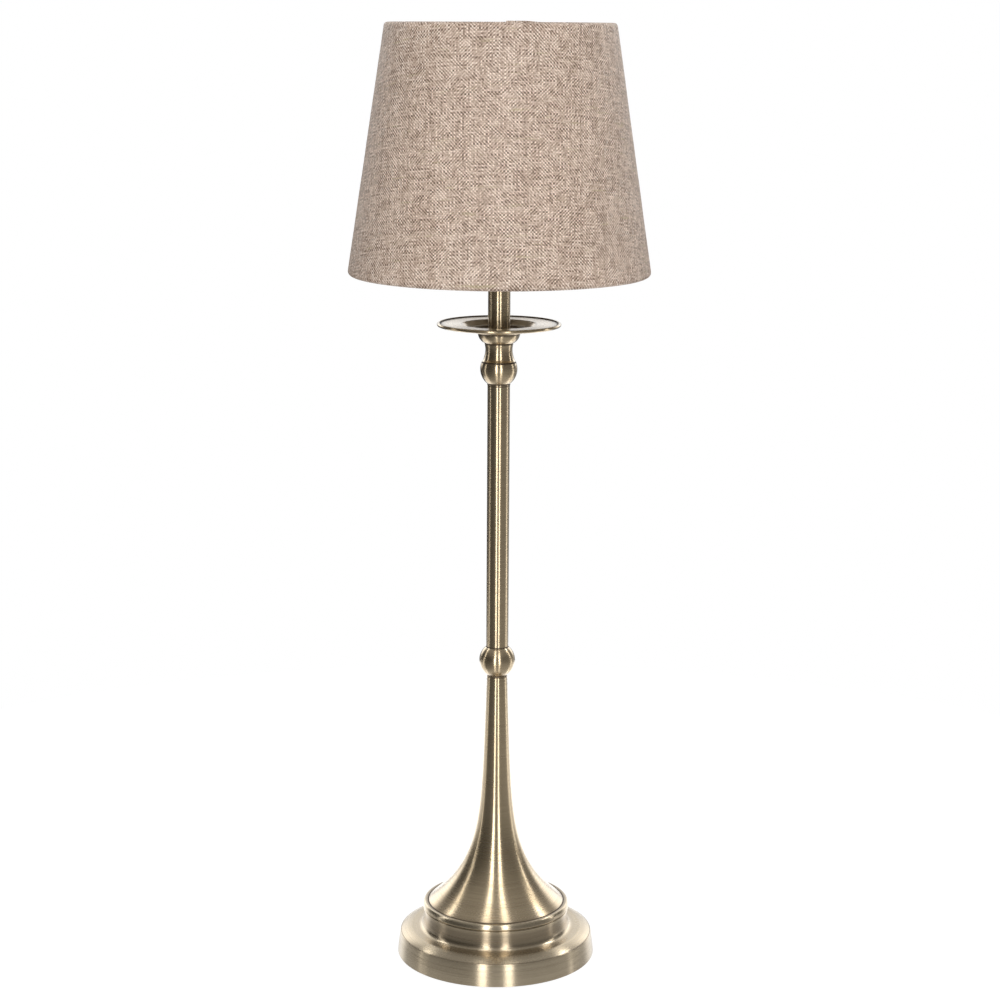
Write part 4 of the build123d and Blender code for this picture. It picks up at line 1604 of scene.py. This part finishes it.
@dataclass
class ShadeRings:
    """The two fluted rings that clamp the shade's fitter on the holder's thread."""

    bore: float = 20.15
    collar: float = 21.75
    height: float = 6.0
    flange: float = 28.0
    flange_height: float = 2.6
    flutes: Flutes = Flutes(count=20, radius=2.2, depth=0.8, least_radius=27.0)
    columns: int = 480

    def ring(self, name: str, node: str, body: Body, flange_up: bool) -> None:
        """Makes one ring.

        Args:
            name: the piece's name.
            node: the node that it stands for.
            body: the body that it moves with.
            flange_up: whether its flange is at the top.
        """
        collar_z = self.height - self.flange_height
        profile = [(self.bore, self.height), (self.bore, 0), (self.collar, 0), (self.collar, collar_z)]
        profile += [(self.flange, collar_z), (self.flange, self.height)]
        if not flange_up:
            profile = [(radius, self.height - height) for radius, height in profile]
        outline, base = Outline(profile), foot(node)
        made = turned(name, outline, base, easing=0.35, columns=self.columns, shape=self.flutes)
        dress(made, HOLDER, body, node)

    def build(self) -> None:
        """Makes both rings."""
        self.ring("lower_ring_moulded", "lower_shade_ring", Body.RING_BELOW, True)
        self.ring("upper_ring_moulded", "upper_shade_ring", Body.RING_ABOVE, False)


class Station(NamedTuple):
    """A point of the cloth's section, in millimetres up the slant, and where it lies on the flat cloth."""

    along: float
    depth: float
    normal_along: float
    normal_depth: float
    pattern: float


@dataclass
class Shade:
    """The tapered shade: linen rolled over two hoops, a stiff lining and the fitter's three arms."""

    bottom: float = 101.6
    top: float = 76.25
    height: float = 165.4
    cloth: float = 0.7
    lining: float = 0.5
    wire: float = 1.3
    hem: float = 7.0
    lap_width: float = 16.0
    lap_angle: float = 82.0
    lap_ramp: float = 9.0
    lap_slack: float = 0.1
    front_angle: float = 270.0
    arm_count: int = 3
    first_arm: float = 90.0
    notch_width: float = 4.0
    notch_hem: float = 0.2
    notch_slit: float = 0.03
    notch_margin: float = 0.01
    unevenness: float = 0.12
    unevenness_scale: float = 2.3
    unevenness_rise: float = 0.02
    columns: int = 480
    hem_rows: int = 4
    face_rows: int = 26
    roll_rows: int = 9
    sharp_angle: float = 50.0

    def __post_init__(self) -> None:
        """Works out the slant."""
        self.slant = math.hypot(self.bottom - self.top, self.height)
        self.inward = (self.bottom - self.top) / self.slant
        self.upward = self.height / self.slant
        self.roll = self.cloth + self.lining + self.wire
        self.base = foot("shade_lining") - self.wall_point(self.roll, self.cloth + self.lining)[1] * MM

    def wall_point(self, along: float, depth: float) -> Place:
        """The radius and height of a point in the wall.

        Args:
            along: its distance up the slant.
            depth: its depth inside the cloth's face.

        Returns:
            The point.
        """
        radius = self.bottom - along * self.inward - depth * self.upward
        return radius, along * self.upward - depth * self.inward

    def section(self, hem: float) -> list[Station]:
        """The cloth's outer line from the lower hem, round both hoops, to the upper hem.

        Args:
            hem: how far the hems reach, in millimetres.

        Returns:
            Its stations.
        """
        roll, top = self.roll, self.slant - self.roll
        around = math.pi * (roll - self.cloth / 2)
        lower, upper = [], []
        for row in range(self.hem_rows):
            reach = (hem - roll) * (1 - row / (self.hem_rows - 1))
            lower.append(Station(roll + reach, 2 * roll, 0.0, 1.0, roll - around - reach))
            upper.append(Station(top - reach, 2 * roll, 0.0, 1.0, top + around + reach))
        for row in range(1, self.roll_rows):
            turn = math.pi * row / self.roll_rows
            across, depth = math.sin(turn), math.cos(turn)
            past = around * (1 - row / self.roll_rows)
            lower.append(Station(roll - roll * across, roll + roll * depth, -across, depth, roll - past))
            upper.append(Station(top + roll * across, roll + roll * depth, across, depth, top + past))
        face = []
        for row in range(self.face_rows + 1):
            along = roll + (top - roll) * row / self.face_rows
            face.append(Station(along, 0.0, 0.0, -1.0, along))
        return lower + face + upper[::-1]

    def notch_half(self) -> float:
        """Half a notch's width as an angle, in degrees."""
        return math.degrees(self.notch_width / 2 / self.bottom)

    def angles(self) -> list[float]:
        """The strip's columns, with a pair at each side of each arm's notch.

        Returns:
            Their angles, in degrees.
        """
        lap = math.degrees(2 * self.lap_width / (self.bottom + self.top))
        start = self.lap_angle - lap / 2
        found = {start + (360 + lap) * column / self.columns for column in range(self.columns + 1)}
        for arm in range(self.arm_count):
            middle = self.first_arm + 360 * arm / self.arm_count
            for shift in (0.0, self.notch_slit):
                found |= {middle + side * (self.notch_half() + shift) for side in (-1, 1)}
        return sorted(found)

    def cut_section(self, angle: float) -> list[Station]:
        """The cloth's section at one column, with its lower hem cut short in the notch of an arm.

        Args:
            angle: the column's angle, in degrees.

        Returns:
            Its stations.
        """
        whole = self.section(self.hem)
        step = 360 / self.arm_count
        away = abs((angle - self.first_arm + step / 2) % step - step / 2)
        if away > self.notch_half() + self.notch_margin:
            return whole
        short = self.section(self.roll + self.notch_hem)
        return short[: len(short) // 2] + whole[len(whole) // 2 :]

    def column_points(self, angle: float, lap_start: float) -> tuple[list[Place3], list[Place3]]:
        """One column of the strip: up its outer face and back down its inner one.

        Args:
            angle: the column's angle, in degrees.
            lap_start: the angle at which the lapped end starts to lie over the strip's start.

        Returns:
            Its points, and their places on the flat cloth, both in metres.
        """
        share = min(1.0, max(0.0, (angle - lap_start + self.lap_ramp) / self.lap_ramp))
        lift = (self.cloth + self.lap_slack) * share * share * (3 - 2 * share)
        stations = self.cut_section(angle)
        turn = math.radians(angle)
        spread = (turn - math.radians(self.front_angle)) * self.inward
        points, cloth = [], []
        for inset, rows in ((0.0, stations), (self.cloth, stations[::-1])):
            for station in rows:
                spot = Vector((math.cos(turn), math.sin(turn), station.along * self.unevenness_rise))
                on_face = station.normal_depth < -0.5
                rough = noise.noise(spot * self.unevenness_scale) * self.unevenness * on_face
                move = lift + rough - inset
                along = station.along + station.normal_along * move
                radius, height = self.wall_point(along, station.depth + station.normal_depth * move)
                radius *= MM
                points.append((radius * math.cos(turn), radius * math.sin(turn), self.base + height * MM))
                reach = (self.bottom / self.inward - station.pattern) * MM
                cloth.append((reach * math.sin(spread), -reach * math.cos(spread), 0.0))
        return points, cloth

    @staticmethod
    def strip_faces(columns: int, ring: int) -> list[tuple[int, ...]]:
        """The strip's faces, with both of its ends closed.

        Args:
            columns: how many columns it has.
            ring: how many points each column has.

        Returns:
            The faces.
        """
        faces = []
        for column in range(columns - 1):
            for row in range(ring):
                beside, above = (column + 1) * ring, (row + 1) % ring
                faces.append((column * ring + row, beside + row, beside + above, column * ring + above))
        for column, back in ((0, True), (columns - 1, False)):
            first = column * ring
            for row in range(ring // 2 - 1):
                cap = (first + row, first + row + 1, first + ring - 2 - row, first + ring - 1 - row)
                faces.append(cap if back else cap[::-1])
        return faces

    def linen(self) -> bpy.types.Object:
        """The strip of linen, wrapped once with its end lapped over its start.

        Returns:
            The piece, which keeps its places on the flat cloth.
        """
        angles = self.angles()
        points, cloth = [], []
        for angle in angles:
            more_points, more_cloth = self.column_points(angle, angles[0] + 360)
            points += more_points
            cloth += more_cloth
        faces = self.strip_faces(len(angles), len(points) // len(angles))
        made = mesh_object("shade_linen", points, faces)
        made.data.set_sharp_from_angle(angle=math.radians(self.sharp_angle))
        keep(made, "cloth", cloth)
        return made

    def flat_size(self) -> tuple[float, float, float]:
        """The linen's flat cut, which is a sector of a ring.

        Returns:
            Its width, length and area, in metres.
        """
        stations = self.section(self.hem)
        apex = self.bottom / self.inward
        near, far = (apex - stations[-1].pattern) * MM, (apex - stations[0].pattern) * MM
        angles = self.angles()
        spread = math.radians(angles[-1] - angles[0]) * self.inward
        width = 2 * far * math.sin(spread / 2)
        length = far - near * math.cos(spread / 2)
        return width, length, spread * (far**2 - near**2) / 2

    def film(self) -> bpy.types.Object:
        """The stiff lining behind the linen.

        Returns:
            The piece.
        """
        low, high = self.roll, self.slant - self.roll
        back = self.cloth + self.lining
        stops = ((low, self.cloth), (low, back), (high, back), (high, self.cloth))
        outline = Outline([self.wall_point(*stop) for stop in stops])
        return turned("shade_lining_film", outline, self.base, easing=0.1, columns=self.columns // 2)

    def build(self) -> None:
        """Makes the linen and the lining, and finishes the wire parts."""
        refinish(PAINT, "shade_fitter", "shade_bottom_hoop", "shade_top_hoop")
        film = dress(self.film(), FILM, Body.SHADE, "shade_lining")
        linen = dress(self.linen(), LINEN, Body.SHADE, "shade_fabric")
        width, length, area = self.flat_size()


@dataclass
class ScrewLamp:
    """The candle-shaped lamp on its 27 mm screw cap."""

    tip: float = 4.6
    tip_height: float = 1.4
    tip_share: Place = (0.6, 0.2)
    bead_height: float = 3.4
    cap: float = 13.15
    cap_height: float = 22.0
    cap_wall: float = 0.5
    cap_crimp: float = 1.0
    cap_columns: int = 144
    thread: Thread = Thread(pitch=3.63, depth=0.7, low=0.4, high=19.4, least_radius=13.0)
    thread_rows: int = 96
    glass: float = 17.5
    glass_neck: float = 12.4
    glass_wall: float = 0.8
    glass_height: float = 71.2
    glass_columns: int = 128
    belly_share: float = 0.37
    shoulder_share: Place = (0.72, 0.7)
    stem: float = 2.6
    stem_height: float = 14.0
    stem_foot: float = 3.0
    rod: float = 0.9
    rod_top: float = 44.8
    bead_columns: int = 96
    small_columns: int = 64

    def contact(self) -> bpy.types.Object:
        """The soldered tip.

        Returns:
            The piece.
        """
        half = self.tip_height / 2
        outline = Outline([(0, self.tip_height), (0, 0)])
        outline.arc((self.tip * self.tip_share[0], half * self.tip_share[1]), (self.tip, half))
        outline.to((self.tip, self.tip_height))
        base = foot("lamp_contact")
        return turned("lamp_tip_soldered", outline, base, easing=0.2, columns=self.small_columns)

    def insulator(self) -> bpy.types.Object:
        """The black glass cone between the tip and the cap.

        Returns:
            The piece.
        """
        wide = self.cap - self.thread.depth
        outline = Outline([(0, self.bead_height), (0, 0), (self.tip, 0), (wide, self.bead_height)])
        base = foot("lamp_insulator")
        return turned("lamp_bead_glass", outline, base, easing=0.3, columns=self.bead_columns)

    def screw_cap(self) -> bpy.types.Object:
        """The rolled metal cap with its thread.

        Returns:
            The piece.
        """
        root = self.cap - self.thread.depth
        inner = root - self.cap_wall
        outline = Outline([(inner, self.cap_height), (inner, 0), (root, 0)])
        outline.to(*self.thread.rows(self.cap, self.thread_rows))
        outline.to((root, self.cap_height - self.cap_crimp), (self.glass_neck, self.cap_height))
        base, columns = foot("lamp_cap"), self.cap_columns
        return turned("lamp_cap_rolled", outline, base, easing=0.1, columns=columns, shape=self.thread)

    def glass_side(self, inset: float) -> list[Place]:
        """The envelope's side from its neck to its point.

        Args:
            inset: how far inside the outer face, in millimetres.

        Returns:
            The points.
        """
        wide = self.glass - inset
        side = Outline([(self.glass_neck - inset, 0)])
        belly = (wide, self.glass_height * self.belly_share)
        shoulder = (wide * self.shoulder_share[0], self.glass_height * self.shoulder_share[1])
        side.curve(belly, shoulder, (0, self.glass_height - inset), start=(0, 1), end=(-1, 0), steps=16)
        return side.points

    def envelope(self) -> bpy.types.Object:
        """The clear glass candle."""
        outline = Outline([*self.glass_side(self.glass_wall)[::-1], *self.glass_side(0)])
        return turned("lamp_glass_blown", outline, foot("lamp_glass"), easing=0.0, columns=self.glass_columns)

    def mount(self) -> bpy.types.Object:
        """The glass mount with its thin rod.

        Returns:
            The piece.
        """
        outline = Outline([(0, self.rod_top), (0, 0), (self.glass_neck - self.glass_wall, 0)])
        outline.to((self.stem, self.stem_foot), (self.stem, self.stem_height))
        outline.to((self.rod, self.stem_height + self.stem), (self.rod, self.rod_top))
        return turned("lamp_stem_drawn", outline, foot("lamp_stem"), easing=0.4, columns=self.small_columns)

    def build(self) -> None:
        """Makes the lamp from its tip up."""
        dress(self.contact(), CONTACT, Body.LAMP_TIP, "lamp_contact")
        dress(self.insulator(), BEAD, Body.LAMP, "lamp_insulator")
        dress(self.screw_cap(), NICKEL, Body.LAMP, "lamp_cap")
        dress(self.envelope(), GLASS, Body.LAMP, "lamp_glass")
        dress(self.mount(), GLASS, Body.LAMP, "lamp_stem")
        refinish(CONTACT, "filament_wires")
        refinish(PHOSPHOR, "filaments")


@dataclass
class Camera:
    """The camera at the photograph's place."""

    place: Place3 = (0.0013, -1.58293, 0.65152)
    pitch: float = 11.63
    roll: float = 0.34
    lens: float = 85.3
    sensor: float = 36.0

    def build(self) -> None:
        """Sets up the camera and the plain view of its colours."""
        data = bpy.data.cameras.new("camera")
        data.lens = self.lens
        data.sensor_width = self.sensor
        made = bpy.data.objects.new("camera", data)
        bpy.context.scene.collection.objects.link(made)
        tilt = Matrix.Rotation(math.radians(90 - self.pitch), 4, "X")
        roll = Matrix.Rotation(math.radians(self.roll), 4, "Z")
        made.matrix_world = Matrix.Translation(self.place) @ tilt @ roll
        bpy.context.scene.camera = made
        bpy.context.scene.view_settings.view_transform = "Standard"


@dataclass
class Floor:
    """The pale round floor: white where it is seen, softer in gloss with a painted glow and a painted shadow
    round the lamp, with a faint polish of its own.
    """

    radius: float = 0.75
    gap: float = 0.0002
    steps: int = 96
    white: Colour = (0.8, 0.8, 0.8)
    glow: float = 1.25
    glow_share: float = 0.75
    polish: float = 0.32
    polish_rough: float = 0.12
    gloss_left: float = 0.16
    gloss_right: float = 0.42
    gloss_side: float = 0.4
    painted_shadow_gloss: float = 0.5
    painted_shadow_reach: Place = (0.1, 0.25)
    gloss_behind: float = 1.3
    gloss_behind_range: Place = (0.0, 0.12)

    def gloss(self, wiring: Wiring) -> Output:
        """How bright the floor's painted glow is in gloss: dim in front, brighter at the right and behind,
        and dimmer close round the lamp as a painted shadow.

        Args:
            wiring: the floor's tree.

        Returns:
            The strength.
        """
        place = wiring.place()
        reach = wiring.node("VectorMath", place, operation="LENGTH")
        across, depth, _ = wiring.parts(place)
        far = wiring.span(across, -self.gloss_side, self.gloss_side, self.gloss_left, self.gloss_right)
        # Painted shadow: the floor's glow in gloss dims close round the lamp's foot.
        near = wiring.span(reach.outputs["Value"], *self.painted_shadow_reach, self.painted_shadow_gloss, far)
        return wiring.span(depth, *self.gloss_behind_range, near, self.gloss_behind)

    def material(self) -> bpy.types.Material:
        """Matt white with a glow for what sees it, polished in gloss and clear from below.

        Returns:
            The material.
        """
        made = bpy.data.materials.new("pale_floor")
        made.use_nodes = True
        made.node_tree.nodes.clear()
        wiring = Wiring(made.node_tree)
        path = wiring.node("LightPath").outputs
        looked, glossy, through = (path[f"Is {kind} Ray"] for kind in ("Camera", "Glossy", "Transmission"))
        sight = wiring.math("MAXIMUM", wiring.math("MAXIMUM", looked, glossy), through)
        matt = wiring.node("BsdfDiffuse", opaque(self.white))
        level = wiring.mix(glossy, self.glow, self.gloss(wiring))
        glow = wiring.node("Emission", named={"Strength": level})
        polish = wiring.node("BsdfAnisotropic", opaque(grey(self.polish)), self.polish_rough)
        mirrored = wiring.node("AddShader", glow.outputs[0], polish.outputs[0])
        lit = wiring.times(sight, self.glow_share)
        plain = wiring.node("MixShader", lit, matt.outputs[0], glow.outputs[0])
        mixed = wiring.node("MixShader", glossy, plain.outputs[0], mirrored.outputs[0])
        below = wiring.times(wiring.node("NewGeometry").outputs["Backfacing"], looked)
        clear = wiring.node("BsdfTransparent")
        cleared = wiring.node("MixShader", below, mixed.outputs[0], clear.outputs[0])
        wiring.node("OutputMaterial", cleared.outputs[0])
        return made

    def build(self) -> None:
        """Lays the floor."""
        points = [(0.0, 0.0, -self.gap)]
        for step in range(self.steps):
            angle = TURN * step / self.steps
            points.append((self.radius * math.cos(angle), self.radius * math.sin(angle), -self.gap))
        faces = [(0, 1 + step, 1 + (step + 1) % self.steps) for step in range(self.steps)]
        made = mesh_object("floor", points, faces)
        made.data.materials.append(self.material())


@dataclass
class Room:
    """The room round the lamp: white where it is seen, and in gloss bright behind and soft elsewhere.

    Each range is of one number of the direction looked in: across to the right, depth to the back or
    height. The levels are strengths, of which 1 is white.
    """

    sky_left: float = 0.25
    sky_right: float = 0.32
    left: float = 0.11
    level: float = 0.31
    left_across: Place = (-0.9, -0.1)
    ceiling: float = 0.42
    ceiling_height: Place = (0.55, 0.85)
    wall_height: Place = (0.3, 0.75)
    dip: float = 0.45
    dip_height: Place = (0.35, 0.6)
    behind_depth: Place = (0.56, 0.78)
    behind_left: float = 0.03
    behind_left_across: Place = (-0.1, 0.0)
    backdrop: float = 1.1
    backdrop_sides: float = 2.3
    backdrop_across: Place = (0.15, 0.5)
    horizon: Place = (-0.05, 0.08)

    def gloss(self, wiring: Wiring, across: Output, depth: Output, height: Output) -> Output:
        """How bright the room is in gloss.

        Args:
            wiring: the world's tree.
            across: how far to the right the direction goes.
            depth: how far to the back.
            height: how far up.

        Returns:
            The strength.
        """
        behind = wiring.span(depth, *self.behind_depth)
        above = wiring.span(height, *self.horizon)
        low = wiring.span(height, *self.wall_height, 1.0, 0.0)
        upper = wiring.span(height, *self.ceiling_height, self.level, self.ceiling)
        wall = wiring.span(across, *self.left_across, self.left, self.level)
        dip = wiring.times(above, wiring.span(height, *self.dip_height, self.dip, 0.0))
        room = wiring.times(wiring.mix(low, upper, wall), wiring.minus(1.0, dip))
        shaded = wiring.times(behind, wiring.span(across, *self.behind_left_across, 1.0, 0.0))
        aside = wiring.math("ABSOLUTE", across)
        backdrop = wiring.span(aside, *self.backdrop_across, self.backdrop, self.backdrop_sides)
        return wiring.mix(wiring.times(behind, above), wiring.mix(shaded, room, self.behind_left), backdrop)

    def build(self) -> None:
        """Fills the world."""
        world = bpy.data.worlds.new("room")
        world.use_nodes = True
        world.node_tree.nodes.clear()
        bpy.context.scene.world = world
        wiring = Wiring(world.node_tree)
        path = wiring.node("LightPath").outputs
        across, depth, height = wiring.parts(wiring.node("TexCoord").outputs["Generated"])
        sky = wiring.span(across, -1.0, 1.0, self.sky_left, self.sky_right)
        level = wiring.mix(path["Is Glossy Ray"], sky, self.gloss(wiring, across, depth, height))
        shown = wiring.math("MAXIMUM", path["Is Camera Ray"], path["Is Transmission Ray"])
        glow = wiring.node("Background", opaque(WHITE), wiring.mix(shown, level, 1.0))
        wiring.node("OutputWorld", glow.outputs[0])


@dataclass(frozen=True)
class Panel:
    """A soft light: its bearing from the front, place, size and strength, its tilt overhead and its lean."""

    bearing: float
    middle: float
    width: float
    tall: float
    radiance: float
    away: float = 2.5
    aside: float = 0.0
    tilt: float = 0.0
    lean: float = 0.0

    def build(self, name: str) -> None:
        """Sets up the light.

        Args:
            name: its name.
        """
        data = bpy.data.lights.new(name, "AREA")
        data.shape = "RECTANGLE"
        data.size = self.width
        data.size_y = self.tall
        data.energy = self.radiance * math.pi * self.width * self.tall
        made = bpy.data.objects.new(name, data)
        turn = Matrix.Rotation(math.radians(self.bearing), 4, "Z")
        place = Matrix.Translation((self.aside, -self.away, self.middle))
        facing = Matrix.Rotation(math.radians(90 - self.tilt), 4, "X")
        made.matrix_world = turn @ place @ facing @ Matrix.Rotation(math.radians(self.lean), 4, "Z")
        made.visible_camera = False
        bpy.context.scene.collection.objects.link(made)


@dataclass
class Lights:
    """The soft panels round the lamp: two in front, two overhead, four at the sides and two low behind."""

    panels: tuple[Panel, ...] = (
        Panel(bearing=-14.5, middle=0.75, width=0.38, tall=2.6, radiance=6.2),
        Panel(bearing=15.5, middle=0.75, width=0.38, tall=2.6, radiance=5.3),
        Panel(bearing=0, middle=2.3, width=0.3, tall=2.4, radiance=4.0, away=1.2, aside=-0.47, tilt=60),
        Panel(bearing=0, middle=2.3, width=0.3, tall=2.4, radiance=4.0, away=1.2, aside=0.5, tilt=60),
        Panel(bearing=-90, middle=1.94, width=0.24, tall=2.75, radiance=2.2, aside=-0.55, lean=28),
        Panel(bearing=90, middle=1.92, width=0.24, tall=2.72, radiance=3.6, aside=0.67, lean=-15),
        Panel(bearing=-122, middle=2.68, width=1.5, tall=0.32, radiance=4.5, tilt=47),
        Panel(bearing=122, middle=2.68, width=1.5, tall=0.32, radiance=8.5, tilt=47),
        Panel(bearing=105, middle=-0.6, width=0.5, tall=1.4, radiance=2.2),
        Panel(bearing=-95, middle=-0.1, width=0.22, tall=1.7, radiance=1.9),
    )

    def build(self) -> None:
        """Sets up every panel."""
        for index, panel in enumerate(self.panels):
            panel.build(f"panel_{index}")


def main() -> None:
    """Builds the lamp from the foot up, with the studio round it."""
    logging.basicConfig(level=logging.INFO, format="%(message)s")
    lamp = (Base(), Stem(), PanAndCandle(), Lampholder(), ShadeRings(), Shade(), ScrewLamp())
    studio = (Camera(), Floor(), Room(), Lights())
    for part in (*lamp, *studio):
        part.build()
        log.info("%s is done", type(part).__name__)


if __name__ == "__main__":
    main()
